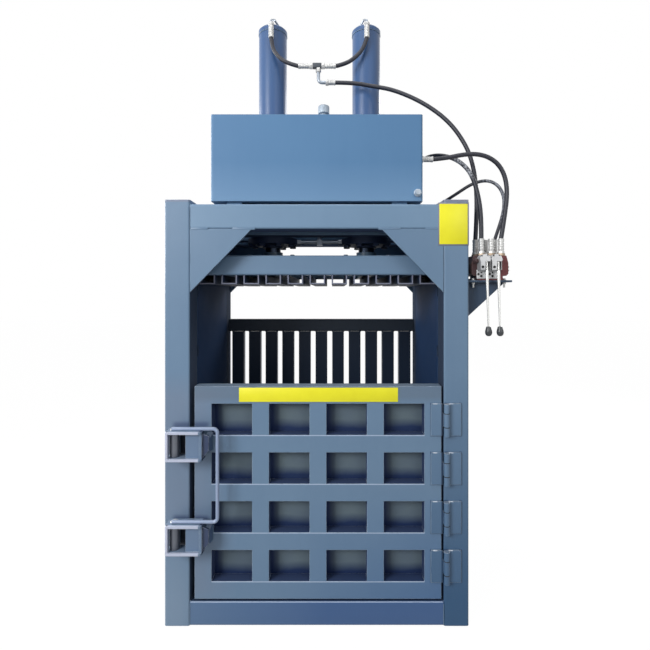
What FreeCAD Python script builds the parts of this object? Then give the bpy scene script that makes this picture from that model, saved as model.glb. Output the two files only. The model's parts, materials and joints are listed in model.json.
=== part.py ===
import FreeCAD, Part
import math
import os
import Sketcher

# Vertical two-cylinder recycling baler. Millimetres, +Z up. The origin is on the floor,
# midway between the side posts and midway from the front face to the back face.
# The loading door faces -Y.

SIZES = {
    # welded frame
    "frame_width": 1200.0,
    "frame_depth": 700.0,
    "post_height": 1680.0,
    "post_side": 100.0,
    "tube_wall": 5.0,
    "tube_round": 8.0,
    "end_plate": 6.0,
    "top_beam_height": 98.0,
    "top_beam_drop": 17.0,
    "sill_height": 97.0,
    "gusset_width": 244.0,
    "gusset_height": 250.0,
    "gusset_plate": 10.0,
    "wall_sheet": 6.0,
    "wall_rib_height": 60.0,
    "wall_rib_depth": 40.0,
    "wall_rib_plate": 5.0,
    # channels that line the press chamber
    "bar_width": 63.0,
    "bar_pitch": 90.0,
    "bar_depth": 40.0,
    "bar_wall": 5.0,
    "rear_rail_top": 1171.0,
    "rear_rail_height": 65.0,
    "rear_rail_depth": 50.0,
    "floor_beam_width": 80.0,
    "floor_beam_height": 54.0,
    # cylinders
    "cylinder_spacing": 440.0,
    "barrel_diameter": 130.0,
    "barrel_wall": 12.0,
    "barrel_top": 2548.0,
    "barrel_cap": 24.0,
    "barrel_cap_rim": 2.0,
    "barrel_cap_bevel": 8.0,
    "gland_diameter": 230.0,
    "gland_thickness": 30.0,
    "gland_nose": 12.0,
    "gland_nose_wall": 12.0,
    "gland_bevel": 3.0,
    "gland_bolt_circle": 196.0,
    "gland_bolt_count": 8.0,
    "bolt_diameter": 16.0,
    "bolt_head": 10.0,
    "cylinder_beam_width": 76.0,
    "barrel_clearance": 3.0,
    "running_clearance": 0.08,
    # platen
    "rod_diameter": 72.0,
    "rod_plate_width": 232.0,
    "rod_plate_depth": 180.0,
    "rod_plate_thickness": 10.0,
    "rod_collar_diameter": 92.0,
    "rod_collar_height": 26.0,
    "piston_height": 50.0,
    "piston_clearance": 0.3,
    "piston_rest_gap": 14.0,
    "platen_top": 1466.0,
    "platen_beam_height": 81.0,
    "platen_beam_width": 63.0,
    "platen_gap_side": 14.0,
    "platen_gap_front": 6.0,
    "platen_gap_rear": 8.0,
    "platen_bar_depth": 37.0,
    # door
    "door_gap_left": 19.0,
    "door_gap_right": 9.0,
    "door_gap_bottom": 10.0,
    "door_height": 837.0,
    "door_depth": 52.0,
    "door_wall": 5.0,
    "door_sheet": 6.0,
    "window_width": 160.0,
    "window_height": 124.0,
    "window_count": 4.0,
    # door hinges
    "hinge_barrel": 24.0,
    "hinge_pin": 12.0,
    "hinge_height": 126.0,
    "hinge_leaf": 6.0,
    "hinge_leaf_reach": 59.0,
    "hinge_standoff": 13.0,
    "hinge_offset": 18.0,
    "hinge_middle": 54.0,
    "hinge_pin_head": 3.0,
    "hinge_knuckle_gap": 1.0,
    # latch
    "latch_inset": 55.0,
    "latch_standoff": 40.0,
    "latch_boss": 36.0,
    "latch_pin": 20.0,
    "latch_end_gap": 0.5,
    "latch_web": 10.0,
    "clasp_upper": 673.0,
    "clasp_lower": 318.0,
    "clasp_height": 113.0,
    "clasp_left": 26.0,
    "clasp_reach": 112.0,
    "clasp_front": 35.0,
    "clasp_back": 26.0,
    "clasp_plate": 10.0,
    "clasp_round": 6.0,
    "clasp_end": 5.5,
    "clasp_web_width": 59.0,
    "claw_reach": 24.0,
    "keeper_width": 20.0,
    "keeper_height": 70.0,
    "keeper_clearance": 1.5,
    "handle_bar": 14.0,
    "handle_reach": 168.0,
    "handle_bend": 16.0,
    "handle_setback": 14.0,
    "handle_overlap": 6.0,
    # oil tank and power unit
    "tank_width": 840.0,
    "tank_depth": 260.0,
    "tank_height": 343.0,
    "tank_wall": 4.0,
    "tank_round": 10.0,
    "tank_lift": 12.0,
    "tank_front_gap": 5.0,
    "breather_diameter": 46.0,
    "breather_height": 63.0,
    "breather_neck": 30.0,
    "breather_lift": 28.0,
    "breather_flange": 46.0,
    "breather_seat": 5.0,
    "breather_bevel": 6.0,
    "breather_x": 26.0,
    "breather_back": 70.0,
    "foot_width": 60.0,
    "foot_depth": 40.0,
    "foot_inset": 20.0,
    "drain_inset": 22.0,
    "drain_height": 32.0,
    "drain_diameter": 30.0,
    "motor_diameter": 190.0,
    "motor_length": 250.0,
    "motor_y": 200.0,
    "motor_left": -350.0,
    "motor_axis_height": 120.0,
    "motor_plate": 10.0,
    "motor_shaft": 28.0,
    "motor_wall": 14.0,
    "motor_shield": 12.0,
    "motor_foot_width": 140.0,
    "motor_foot_inset": 30.0,
    "fan_gap": 12.0,
    "fan_collar": 6.0,
    "fan_rise": 10.0,
    "fan_end_gap": 14.0,
    "blade_count": 6.0,
    "blade_plate": 3.0,
    "blade_sink": 4.0,
    "blade_inset": 2.0,
    "blade_tip_gap": 18.0,
    "core_inset": 30.0,
    "core_gap": 22.0,
    "coupling_gap": 14.0,
    "coupling_rise": 16.0,
    "coupling_length": 46.0,
    "pump_shaft_step": 4.0,
    "pump_shaft_gap": 2.0,
    "terminal_box_width": 110.0,
    "terminal_box_depth": 90.0,
    "terminal_box_height": 50.0,
    "terminal_box_back": 70.0,
    "terminal_saddle": 3.0,
    "cowl_length": 60.0,
    "cowl_wall": 2.0,
    "bell_length": 80.0,
    "bell_diameter": 160.0,
    "bell_wall": 12.0,
    "bell_rim": 8.0,
    "bell_step": 6.0,
    "pump_diameter": 90.0,
    "pump_length": 110.0,
    "pump_band": 20.0,
    "pump_waist": 4.0,
    "pump_bore": 30.0,
    "suction_diameter": 34.0,
    # control valve
    "shelf_reach": 178.0,
    "shelf_height": 1363.0,
    "shelf_plate": 8.0,
    "shelf_front": 330.0,
    "shelf_depth": 125.0,
    "shelf_gusset_reach": 160.0,
    "shelf_gusset_drop": 156.0,
    "shelf_gusset_back": 30.0,
    "valve_inset": 17.0,
    "valve_width": 146.0,
    "valve_depth": 95.0,
    "valve_height": 98.0,
    "valve_waist": 8.0,
    "valve_foot_inset": 22.0,
    "pivot_standoff": 34.0,
    "spool_diameter": 14.0,
    "spool_stroke_room": 8.0,
    "spool_tip_diameter": 6.0,
    "spool_tip_length": 12.0,
    "lever_gap": 1.2,
    "lever_inset": 48.0,
    "lever_pitch": 45.0,
    "lever_pivot_rise": 80.0,
    "lever_pivot_pin": 8.0,
    "lever_rod": 10.0,
    "lever_length": 262.0,
    "lever_arm": 18.0,
    "lever_lean": 1.5,
    "knob_diameter": 27.0,
    "knob_height": 38.0,
    "pivot_box_width": 42.0,
    "pivot_box_height": 60.0,
    "pivot_cheek": 6.0,
    "pivot_side_gap": 0.5,
    # hydraulic hoses and fittings
    "port_pitch": 40.0,
    "port_inset_front": 48.0,
    "port_inset_back": 38.0,
    "port_row_front": 30.0,
    "port_row_back": 74.0,
    "return_port_back": 60.0,
    "return_port_height": 183.0,
    "hose_diameter": 18.0,
    "thin_hose_diameter": 14.0,
    "ferrule_diameter": 20.0,
    "ferrule_length": 51.0,
    "union_nut": 14.0,
    "union_sleeve": 38.0,
    "hex_height": 20.0,
    "hex_nut": 27.0,
    "steel_tube": 16.0,
    "steel_tube_bend": 14.0,
    "cap_tube_rise": 16.0,
    "cap_tube_inset": 26.0,
    "cap_tube_back": 20.0,
    "cap_tube_gap": 20.0,
    "cap_hose_inset": 3.0,
    "cap_hose_drop": 78.0,
    "tee_x": -8.0,
    "tee_gap": 27.0,
    "tee_drop": 210.0,
    "tee_width": 38.0,
    "tee_side": 24.0,
    "tee_sleeve": 66.0,
    "elbow_inset": 6.0,
    "elbow_drop": 75.0,
    "elbow_run": 44.0,
    "elbow_sleeve": 32.0,
    "link_tee": 26.0,
    "link_nut": 18.0,
    "link_end_gap": 0.2,
}


class Dim:
    """A length: its value and the sheet expression that gives it."""

    def __init__(self, value, text):
        self.value = float(value)
        self.text = text

    def join(self, other, sign, value):
        other = dim(other)
        return Dim(value, "(%s %s %s)" % (self.text, sign, other.text))

    def __add__(self, other):
        return self.join(other, "+", self.value + dim(other).value)

    def __sub__(self, other):
        return self.join(other, "-", self.value - dim(other).value)

    def __mul__(self, other):
        return self.join(other, "*", self.value * dim(other).value)

    def __truediv__(self, other):
        return self.join(other, "/", self.value / dim(other).value)

    def __neg__(self):
        return Dim(-self.value, "(0 - %s)" % self.text)

    def __radd__(self, other):
        return dim(other) + self

    def __rsub__(self, other):
        return dim(other) - self

    def __rmul__(self, other):
        return dim(other) * self


def dim(value):
    if isinstance(value, Dim):
        return value
    return Dim(value, "%.6f" % value if value >= 0 else "(0 - %.6f)" % -value)


doc = FreeCAD.newDocument("Baler")
sheet = doc.addObject("Spreadsheet::Sheet", "Sizes")
for row, (alias, number) in enumerate(SIZES.items(), start=1):
    sheet.set("A%d" % row, alias)
    sheet.set("B%d" % row, str(number))
    sheet.setAlias("B%d" % row, alias)
doc.recompute()


def size(alias):
    return Dim(SIZES[alias], "Sizes." + alias)


def bind(thing, prop, value):
    value = dim(value)
    thing.setExpression(prop, value.text)


nodes = []


def place(thing, x=0, y=0, z=0, turn=None):
    """Put a sub-part where it belongs; turn is (axis, degrees)."""
    x, y, z = dim(x), dim(y), dim(z)
    rotation = FreeCAD.Rotation(FreeCAD.Vector(*turn[0]), turn[1]) if turn else FreeCAD.Rotation()
    thing.Placement = FreeCAD.Placement(FreeCAD.Vector(x.value, y.value, z.value), rotation)
    for axis, value in (("x", x), ("y", y), ("z", z)):
        if value.value != 0 or "Sizes" in value.text:
            bind(thing, "Placement.Base." + axis, value)


def node(thing):
    nodes.append(thing)
    return thing


def newBody(label, x=0, y=0, z=0, turn=None):
    body = doc.addObject("PartDesign::Body", label)
    body.Label = label
    body.AllowCompound = True
    place(body, x, y, z, turn)
    return body


PLANES = {"XY": "XY_Plane", "XZ": "XZ_Plane", "YZ": "YZ_Plane"}


def newSketch(body, plane, offset=0):
    """A sketch on one of the body's own planes, moved along that plane's normal."""
    sketch = body.newObject("Sketcher::SketchObject", body.Name + "_sketch")
    for feature in body.Origin.OriginFeatures:
        if feature.Role == PLANES[plane]:
            sketch.AttachmentSupport = [(feature, "")]
    sketch.MapMode = "FlatFace"
    offset = dim(offset)
    sketch.AttachmentOffset = FreeCAD.Placement(FreeCAD.Vector(0, 0, offset.value), FreeCAD.Rotation())
    if offset.value != 0 or "Sizes" in offset.text:
        bind(sketch, "AttachmentOffset.Base.z", offset)
    return sketch


def fix(sketch, line, point, u, v):
    """Hold one point of the sketch at (u, v)."""
    for kind, value, axis in (("DistanceX", dim(u), -2), ("DistanceY", dim(v), -1)):
        if value.value == 0 and "Sizes" not in value.text:
            sketch.addConstraint(Sketcher.Constraint("PointOnObject", line, point, axis))
        else:
            index = sketch.addConstraint(Sketcher.Constraint(kind, -1, 1, line, point, value.value))
            bind(sketch, "Constraints[%d]" % index, value)


def polygon(sketch, points):
    """A closed outline of straight lines through the given corners."""
    points = [(dim(u), dim(v)) for u, v in points]
    first = sketch.GeometryCount
    count = len(points)
    for i in range(count):
        start = points[i]
        end = points[(i + 1) % count]
        sketch.addGeometry(Part.LineSegment(
            FreeCAD.Vector(start[0].value, start[1].value, 0),
            FreeCAD.Vector(end[0].value, end[1].value, 0)), False)
    for i in range(count):
        sketch.addConstraint(Sketcher.Constraint("Coincident", first + i, 2, first + (i + 1) % count, 1))
    for i in range(count):
        fix(sketch, first + i, 1, points[i][0], points[i][1])


def rectangle(sketch, u0, u1, v0, v1):
    polygon(sketch, [(u0, v0), (u1, v0), (u1, v1), (u0, v1)])


def circle(sketch, u, v, diameter):
    u, v, diameter = dim(u), dim(v), dim(diameter)
    index = sketch.addGeometry(Part.Circle(
        FreeCAD.Vector(u.value, v.value, 0), FreeCAD.Vector(0, 0, 1), diameter.value / 2), False)
    fix(sketch, index, 3, u, v)
    rule = sketch.addConstraint(Sketcher.Constraint("Diameter", index, diameter.value))
    bind(sketch, "Constraints[%d]" % rule, diameter)


def rounded(sketch, u0, u1, v0, v1, radius):
    """A rectangle with round corners."""
    u0, u1, v0, v1, radius = dim(u0), dim(u1), dim(v0), dim(v1), dim(radius)
    first = sketch.GeometryCount
    r = radius.value
    left, right, low, high = u0.value, u1.value, v0.value, v1.value
    up = FreeCAD.Vector(0, 0, 1)
    corners = [
        ((left + r, low + r), math.pi, 1.5 * math.pi),
        ((right - r, low + r), 1.5 * math.pi, 2 * math.pi),
        ((right - r, high - r), 0, 0.5 * math.pi),
        ((left + r, high - r), 0.5 * math.pi, math.pi),
    ]
    lines = [
        ((left + r, low), (right - r, low)),
        ((right, low + r), (right, high - r)),
        ((right - r, high), (left + r, high)),
        ((left, high - r), (left, low + r)),
    ]
    for i in range(4):
        centre, start, end = corners[i]
        round_edge = Part.Circle(FreeCAD.Vector(centre[0], centre[1], 0), up, r)
        sketch.addGeometry(Part.ArcOfCircle(round_edge, start, end), False)
        (a, b), (c, d) = lines[i]
        sketch.addGeometry(Part.LineSegment(FreeCAD.Vector(a, b, 0), FreeCAD.Vector(c, d, 0)), False)
    for i in range(4):
        arc = first + 2 * i
        line = arc + 1
        after = first + (2 * i + 2) % 8
        sketch.addConstraint(Sketcher.Constraint("Tangent", arc, 2, line, 1))
        sketch.addConstraint(Sketcher.Constraint("Tangent", line, 2, after, 1))
    for i in range(3):
        sketch.addConstraint(Sketcher.Constraint("Equal", first, first + 2 * i + 2))
    sketch.addConstraint(Sketcher.Constraint("Horizontal", first + 1))
    sketch.addConstraint(Sketcher.Constraint("Vertical", first + 3))
    rule = sketch.addConstraint(Sketcher.Constraint("Radius", first, r))
    bind(sketch, "Constraints[%d]" % rule, radius)
    for kind, line, value in (("DistanceY", 1, v0), ("DistanceX", 3, u1), ("DistanceY", 5, v1),
                              ("DistanceX", 7, u0)):
        rule = sketch.addConstraint(Sketcher.Constraint(kind, -1, 1, first + line, 1, value.value))
        bind(sketch, "Constraints[%d]" % rule, value)


def pad(body, sketch, length, reverse=False, middle=False):
    feature = body.newObject("PartDesign::Pad", body.Name + "_pad")
    feature.Profile = sketch
    bind(feature, "Length", length)
    feature.Reversed = reverse
    if middle:
        feature.SideType = "Symmetric"
    return feature


def pocket(body, sketch, length=None, reverse=False):
    """A cut through everything both ways, or of one depth."""
    feature = body.newObject("PartDesign::Pocket", body.Name + "_pocket")
    feature.Profile = sketch
    if length is None:
        feature.Type = "ThroughAll"
        feature.SideType = "Symmetric"
    else:
        bind(feature, "Length", length)
    feature.Reversed = reverse
    return feature


def turned(body, outline, plane="XZ"):
    """A full turn of the outline (radius, height) about the sketch's upright axis."""
    sketch = newSketch(body, plane)
    polygon(sketch, outline)
    feature = body.newObject("PartDesign::Revolution", body.Name + "_turned")
    feature.Profile = sketch
    feature.ReferenceAxis = (sketch, ["V_Axis"])
    feature.Angle = 360
    return feature


def group(label, members):
    """Equal pieces kept as separate solids under one name."""
    compound = doc.addObject("Part::Compound", label)
    compound.Label = label
    compound.Links = members
    return node(compound)


def repeat(body, original, axis, length, count):
    """Copy a cut along one of the body's axes."""
    row = body.newObject("PartDesign::LinearPattern", body.Name + "_row_" + axis)
    for line in body.Origin.OriginFeatures:
        if line.Role == axis + "_Axis":
            row.Direction = (line, [""])
    row.Originals = [original]
    bind(row, "Length", length)
    bind(row, "Occurrences", count)
    body.Tip = row


def squareTube(label, along, a, b, wall, length, x, y, z):
    """A hollow welded tube of section a x b. Its lowest corner is at (x, y, z)."""
    body = newBody(label, x, y, z)
    plane = {"X": "YZ", "Y": "XZ", "Z": "XY"}[along]
    sketch = newSketch(body, plane)
    radius = size("tube_round")
    rounded(sketch, 0, a, 0, b, radius)
    rectangle(sketch, wall, a - wall, wall, b - wall)
    pad(body, sketch, length, reverse=(along == "Y"))
    return body


# ---- places that several sub-parts share ----

half_width = size("frame_width") / 2
half_depth = size("frame_depth") / 2
post = size("post_side")
wall = size("tube_wall")
clear_half = half_width - post
front = -half_depth
beam_top = size("post_height") - size("top_beam_drop")
beam_bottom = beam_top - size("top_beam_height")
cylinder_x = size("cylinder_spacing") / 2
clear_width = size("frame_width") - 2 * post
clear_depth = size("frame_depth") - 2 * post


# ---- frame ----

WALL_RIBS = 4

def makePosts():
    """Square tubes with a plate welded over each end."""
    plate = size("end_plate")
    for side, x in (("left", -half_width), ("right", clear_half)):
        for end, y in (("front", front), ("rear", half_depth - post)):
            body = squareTube("post_%s_%s" % (end, side), "Z", post, post, wall,
                              size("post_height"), x, y, 0)
            for level in (dim(0), size("post_height") - plate):
                cover = newSketch(body, "XY", level)
                rectangle(cover, wall / 2, post - wall / 2, wall / 2, post - wall / 2)
                pad(body, cover, plate)
            node(body)


def makeBeams():
    for name, height, z in (("top_beam", size("top_beam_height"), beam_bottom),
                            ("sill", size("sill_height"), dim(0))):
        node(squareTube(name + "_front", "X", post, height, wall, clear_width, -clear_half, front, z))
        node(squareTube(name + "_rear", "X", post, height, wall, clear_width,
                        -clear_half, half_depth - post, z))
        group(name + "s_side", [
            squareTube(name + "_left", "Y", post, height, wall, clear_depth, -half_width, front + post, z),
            squareTube(name + "_right", "Y", post, height, wall, clear_depth, clear_half, front + post, z),
        ])


def makeGussets():
    """Flush triangles in the upper corners of the front and rear openings."""
    members = []
    for end, y, reverse in (("front", front, True), ("rear", half_depth, False)):
        for side, sign in (("left", -1), ("right", 1)):
            body = newBody("gusset_%s_%s" % (end, side), 0, y, beam_bottom)
            sketch = newSketch(body, "XZ")
            corner = clear_half * sign
            tip = (clear_half - size("gusset_width")) * sign
            polygon(sketch, [(corner, 0), (tip, 0), (corner, -size("gusset_height"))])
            pad(body, sketch, size("gusset_plate"), reverse=reverse)
            members.append(body)
    group("corner_gussets", members)


def makeSideWalls():
    """Smooth sheets inside, with channel ribs welded across their outer faces."""
    low = size("sill_height")
    high = beam_bottom
    plate = size("wall_rib_plate")
    deep = size("wall_rib_depth")
    half = size("wall_rib_height") / 2
    for side, sign in (("left", -1), ("right", 1)):
        outer = (clear_half + size("wall_sheet")) * sign
        body = newBody("wall_sheet_" + side, 0, front + post, low)
        sketch = newSketch(body, "XZ")
        rectangle(sketch, clear_half * sign, outer, 0, high - low)
        pad(body, sketch, clear_depth, reverse=True)
        members = [body]
        for i in range(WALL_RIBS):
            middle = low + (high - low) * ((i + 0.5) / WALL_RIBS)
            rib = newBody("wall_rib_%s_%d" % (side, i + 1), outer, front + post, middle)
            sketch = newSketch(rib, "XZ")
            far = deep * sign
            inside = (deep - plate) * sign
            polygon(sketch, [(0, -half), (far, -half), (far, half), (0, half), (0, half - plate),
                             (inside, half - plate), (inside, plate - half), (0, plate - half)])
            pad(rib, sketch, clear_depth, reverse=True)
            members.append(rib)
        group("side_wall_" + side, members)


def barCount(half):
    """How many channels fit on each side of the middle one."""
    return int((half.value - SIZES["bar_width"] / 2) / SIZES["bar_pitch"])


def channel(body, plane, offset, centre, low, high, open_low, length, reverse):
    """A folded channel: width across the sketch's first axis, its mouth at one edge."""
    half = size("bar_width") / 2
    fold = size("bar_wall")
    sketch = newSketch(body, plane, offset)
    if open_low:
        polygon(sketch, [(centre - half, low), (centre - half + fold, low),
                         (centre - half + fold, high - fold), (centre + half - fold, high - fold),
                         (centre + half - fold, low), (centre + half, low),
                         (centre + half, high), (centre - half, high)])
    else:
        polygon(sketch, [(centre - half, high), (centre - half + fold, high),
                         (centre - half + fold, low + fold), (centre + half - fold, low + fold),
                         (centre + half - fold, high), (centre + half, high),
                         (centre + half, low), (centre - half, low)])
    return pad(body, sketch, length, reverse=reverse)


def makeRearWall():
    """Upright channels under a top rail, with strap slots between them."""
    inner = half_depth - size("rear_rail_depth")
    rail = squareTube("rear_rail", "X", size("rear_rail_depth"), size("rear_rail_height"), wall,
                      clear_width, -clear_half, inner, size("rear_rail_top") - size("rear_rail_height"))
    node(rail)
    members = []
    low = size("sill_height")
    high = size("rear_rail_top") - size("rear_rail_height")
    count = barCount(clear_half)
    for n in range(-count, count + 1):
        body = newBody("rear_bar_%d" % (n + count + 1), size("bar_pitch") * n, inner, low)
        channel(body, "XY", 0, dim(0), dim(0), size("bar_depth"), False, high - low, False)
        members.append(body)
    group("rear_bars", members)


def makeFloor():
    """Floor channels from front to back on a cross beam, tops level with the sills."""
    reach = size("frame_depth") - 2 * post
    members = []
    count = barCount(clear_half)
    top = size("floor_beam_height") + size("bar_depth")
    for n in range(-count, count + 1):
        body = newBody("floor_bar_%d" % (n + count + 1), size("bar_pitch") * n)
        channel(body, "XZ", reach / 2, dim(0), top - size("bar_depth"), top, True, reach, True)
        members.append(body)
    group("floor_bars", members)
    node(squareTube("floor_beam", "X", size("floor_beam_width"), size("floor_beam_height"), wall,
                    clear_width, -clear_half, -size("floor_beam_width") / 2, 0))


makePosts()
makeBeams()
makeGussets()
makeSideWalls()
makeRearWall()
makeFloor()


# ---- cylinders ----

barrel = size("barrel_diameter")
bore = barrel - 2 * size("barrel_wall")
gland_bottom = beam_bottom - size("gland_thickness")


def makeCylinders():
    """Barrels hang between two cross beams; the gland flange is bolted up under them."""
    width = size("cylinder_beam_width")
    inner = barrel / 2 + size("barrel_clearance")
    beams = []
    for name, y in (("cylinder_beam_front", -inner - width), ("cylinder_beam_rear", inner)):
        beams.append(squareTube(name, "X", width, size("top_beam_height"), wall,
                                clear_width, -clear_half, y, beam_bottom))
    group("cylinder_beams", beams)
    top = size("barrel_top")
    rim_out = barrel / 2 + size("barrel_cap_rim")
    bevel = size("barrel_cap_bevel")
    edge = size("gland_bevel")
    for side, sign in (("left", -1), ("right", 1)):
        x = cylinder_x * sign
        body = newBody("cylinder_" + side, x, 0, 0)
        outer = barrel / 2
        turned(body, [(bore / 2, beam_bottom), (outer, beam_bottom), (outer, top - size("barrel_cap")),
                      (rim_out, top - size("barrel_cap")), (rim_out, top - bevel), (rim_out - bevel, top),
                      (0, top), (0, top - size("barrel_cap")), (bore / 2, top - size("barrel_cap"))])
        node(body)
        gland = newBody("gland_flange_" + side, x, 0, gland_bottom)
        rod_hole = size("rod_diameter") / 2 + size("running_clearance")
        nose = rod_hole + size("gland_nose_wall")
        rim = size("gland_diameter") / 2
        turned(gland, [(rod_hole, -size("gland_nose")), (nose, -size("gland_nose")), (nose + edge, 0),
                       (rim - edge, 0), (rim, edge), (rim, size("gland_thickness")),
                       (rod_hole, size("gland_thickness"))])
        bolts = []
        count = int(SIZES["gland_bolt_count"])
        for i in range(count):
            angle = math.radians(360.0 * (i + 0.5) / count)
            ring = size("gland_bolt_circle") / 2
            bolt = newBody("gland_bolt_%s_%d" % (side, i + 1), x + ring * math.cos(angle),
                           ring * math.sin(angle), gland_bottom - size("bolt_head"))
            hexagon = newSketch(bolt, "XY")
            across = size("bolt_diameter") * 0.92
            polygon(hexagon, [(across * math.cos(math.radians(60 * k)),
                               across * math.sin(math.radians(60 * k))) for k in range(6)])
            pad(bolt, hexagon, size("bolt_head"))
            bolts.append(bolt)
        group("gland_" + side, [gland] + bolts)


makeCylinders()


# ---- platen ----

platen_half = clear_half - size("platen_gap_side")
platen_front = front + size("door_depth") + size("door_sheet") + size("platen_gap_front")
platen_rear = half_depth - size("rear_rail_depth") - size("platen_gap_rear")
platen_length = platen_rear - platen_front
platen_beam_bottom = size("platen_top") - size("platen_beam_height")


def makePlaten():
    """A welded beam frame over a row of channels whose gaps take the bale straps."""
    height = size("platen_beam_height")
    width = size("platen_beam_width")
    bottom = platen_beam_bottom
    span = platen_half * 2
    beams = [
        squareTube("platen_beam_front", "X", width, height, wall, span, -platen_half, platen_front, bottom),
        squareTube("platen_beam_rear", "X", width, height, wall, span, -platen_half,
                   platen_rear - width, bottom),
    ]
    inner = platen_length - 2 * width
    for name, x in (("platen_beam_1", -cylinder_x - width / 2), ("platen_beam_2", cylinder_x - width / 2),
                    ("platen_beam_3", -platen_half), ("platen_beam_4", platen_half - width)):
        beams.append(squareTube(name, "Y", width, height, wall, inner, x, platen_front + width, bottom))
    group("platen_frame", beams)
    members = []
    count = barCount(platen_half)
    for n in range(-count, count + 1):
        body = newBody("platen_bar_%d" % (n + count + 1), size("bar_pitch") * n, platen_front, 0)
        channel(body, "XZ", 0, dim(0), bottom - size("platen_bar_depth"), bottom, False, platen_length, True)
        members.append(body)
    group("platen_bars", members)


def makeRods():
    """Rod, piston and the plate that spreads the load over the platen frame."""
    plate_top = size("platen_top") + size("rod_plate_thickness")
    rod = size("rod_diameter") / 2
    plates = []
    for side, sign in (("left", -1), ("right", 1)):
        x = cylinder_x * sign
        plate = newBody("rod_plate_" + side, x, 0, size("platen_top"))
        sketch = newSketch(plate, "XY")
        half_w = size("rod_plate_width") / 2
        half_d = size("rod_plate_depth") / 2
        rounded(sketch, -half_w, half_w, -half_d, half_d, 8)
        pad(plate, sketch, size("rod_plate_thickness"))
        collar = newSketch(plate, "XY", size("rod_plate_thickness"))
        circle(collar, 0, 0, size("rod_collar_diameter"))
        circle(collar, 0, 0, size("rod_diameter"))
        pad(plate, collar, size("rod_collar_height"))
        plates.append(plate)
        shaft = newBody("rod_" + side, x, 0, plate_top)
        piston = bore / 2 - size("piston_clearance")
        under_cap = size("barrel_top") - size("barrel_cap") - size("piston_rest_gap")
        low = under_cap - size("piston_height") - plate_top
        turned(shaft, [(0, 0), (rod, 0), (rod, low), (piston, low), (piston, low + size("piston_height")),
                       (0, low + size("piston_height"))])
        node(shaft)
    group("rod_plates", plates)


makePlaten()
makeRods()


# ---- door ----

door_left = -clear_half + size("door_gap_left")
door_right = clear_half - size("door_gap_right")
door_width = door_right - door_left
door_low = size("sill_height") + size("door_gap_bottom")
stile = (door_width - size("window_width") * size("window_count")) / (size("window_count") + 1)
rail = (size("door_height") - size("window_height") * size("window_count")) / (size("window_count") + 1)
sheet_thick = size("door_sheet")
window_pitch = size("window_height") + rail


def makeDoor():
    """A grid of folded bars, open behind, closed by one sheet."""
    body = newBody("door_grid", door_left, front, door_low)
    sketch = newSketch(body, "XZ")
    rectangle(sketch, 0, door_width, 0, size("door_height"))
    pad(body, sketch, size("door_depth"), reverse=True)
    window = newSketch(body, "XZ")
    rectangle(window, stile, stile + size("window_width"), rail, rail + size("window_height"))
    hole = pocket(body, window)
    pattern = body.newObject("PartDesign::MultiTransform", "door_windows")
    steps = []
    for axis, step in (("X_Axis", stile + size("window_width")), ("Z_Axis", window_pitch)):
        row = body.newObject("PartDesign::LinearPattern", "door_windows_" + axis[0])
        for feature in body.Origin.OriginFeatures:
            if feature.Role == axis:
                row.Direction = (feature, [""])
        bind(row, "Length", step * (size("window_count") - 1))
        bind(row, "Occurrences", size("window_count"))
        steps.append(row)
    pattern.Originals = [hole]
    pattern.Transformations = steps
    body.Tip = pattern
    skin = size("door_wall")
    inside = size("door_depth") - skin
    upright = newSketch(body, "XZ", -size("door_depth"))
    rectangle(upright, skin, stile - skin, skin, size("door_height") - skin)
    cut = pocket(body, upright, inside, reverse=True)
    repeat(body, cut, "X", door_width - stile, size("window_count") + 1)
    level = newSketch(body, "XZ", -size("door_depth"))
    rectangle(level, skin, door_width - skin, skin, rail - skin)
    cut = pocket(body, level, inside, reverse=True)
    repeat(body, cut, "Z", size("door_height") - rail, size("window_count") + 1)
    node(body)
    sheet_body = newBody("door_sheet", door_left, front + size("door_depth"), door_low)
    sketch = newSketch(sheet_body, "XZ")
    rectangle(sketch, 0, door_width, 0, size("door_height"))
    pad(sheet_body, sketch, sheet_thick, reverse=True)
    node(sheet_body)


hinge_x = door_right + size("hinge_offset")
hinge_y = front - size("hinge_standoff")


def hingeLeaf(label, z, edge, tip, knuckles):
    """A flat leaf with its knuckles standing off on necks; a knuckle is (start, length)."""
    leaf = size("hinge_leaf")
    stand = size("hinge_standoff")
    body = newBody(label, hinge_x, hinge_y, z)
    plate = newSketch(body, "XY")
    rectangle(plate, edge, tip, stand - leaf, stand)
    pad(body, plate, size("hinge_height"))
    for start, length in knuckles:
        neck = newSketch(body, "XY", start)
        rectangle(neck, edge * 0.3, edge, stand - leaf, stand)
        pad(body, neck, length)
        ring = newSketch(body, "XY", start)
        circle(ring, 0, 0, size("hinge_barrel"))
        pad(body, ring, length)
    return body


def makeHinges():
    """Four butt hinges; the middle knuckle is the door's, the outer two are the post's."""
    reach = size("hinge_leaf_reach")
    height = size("hinge_height")
    gap = size("hinge_knuckle_gap")
    middle = size("hinge_middle")
    outer = (height - middle) / 2
    edge = size("hinge_barrel") / 2 + 2
    head = size("hinge_pin_head")
    door_leaves = []
    post_leaves = []
    for n in range(int(SIZES["window_count"])):
        low = door_low + rail + window_pitch * n
        z = low + size("window_height") / 2 - height / 2
        moving = hingeLeaf("hinge_door_leaf_%d" % (n + 1), z, -edge, -reach,
                           [(outer + gap, middle - 2 * gap)])
        hole = newSketch(moving, "XY")
        circle(hole, 0, 0, size("hinge_pin") + 2 * size("running_clearance"))
        pocket(moving, hole)
        door_leaves.append(moving)
        fixed = hingeLeaf("hinge_post_leaf_%d" % (n + 1), z, edge, reach,
                          [(dim(0), outer), (outer + middle, outer)])
        pin = newSketch(fixed, "XY", -head)
        circle(pin, 0, 0, size("hinge_pin"))
        pad(fixed, pin, height + head)
        post_leaves.append(fixed)
    group("hinge_door_leaves", door_leaves)
    group("hinge_post_leaves", post_leaves)


makeDoor()
makeHinges()


# ---- latch ----

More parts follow.
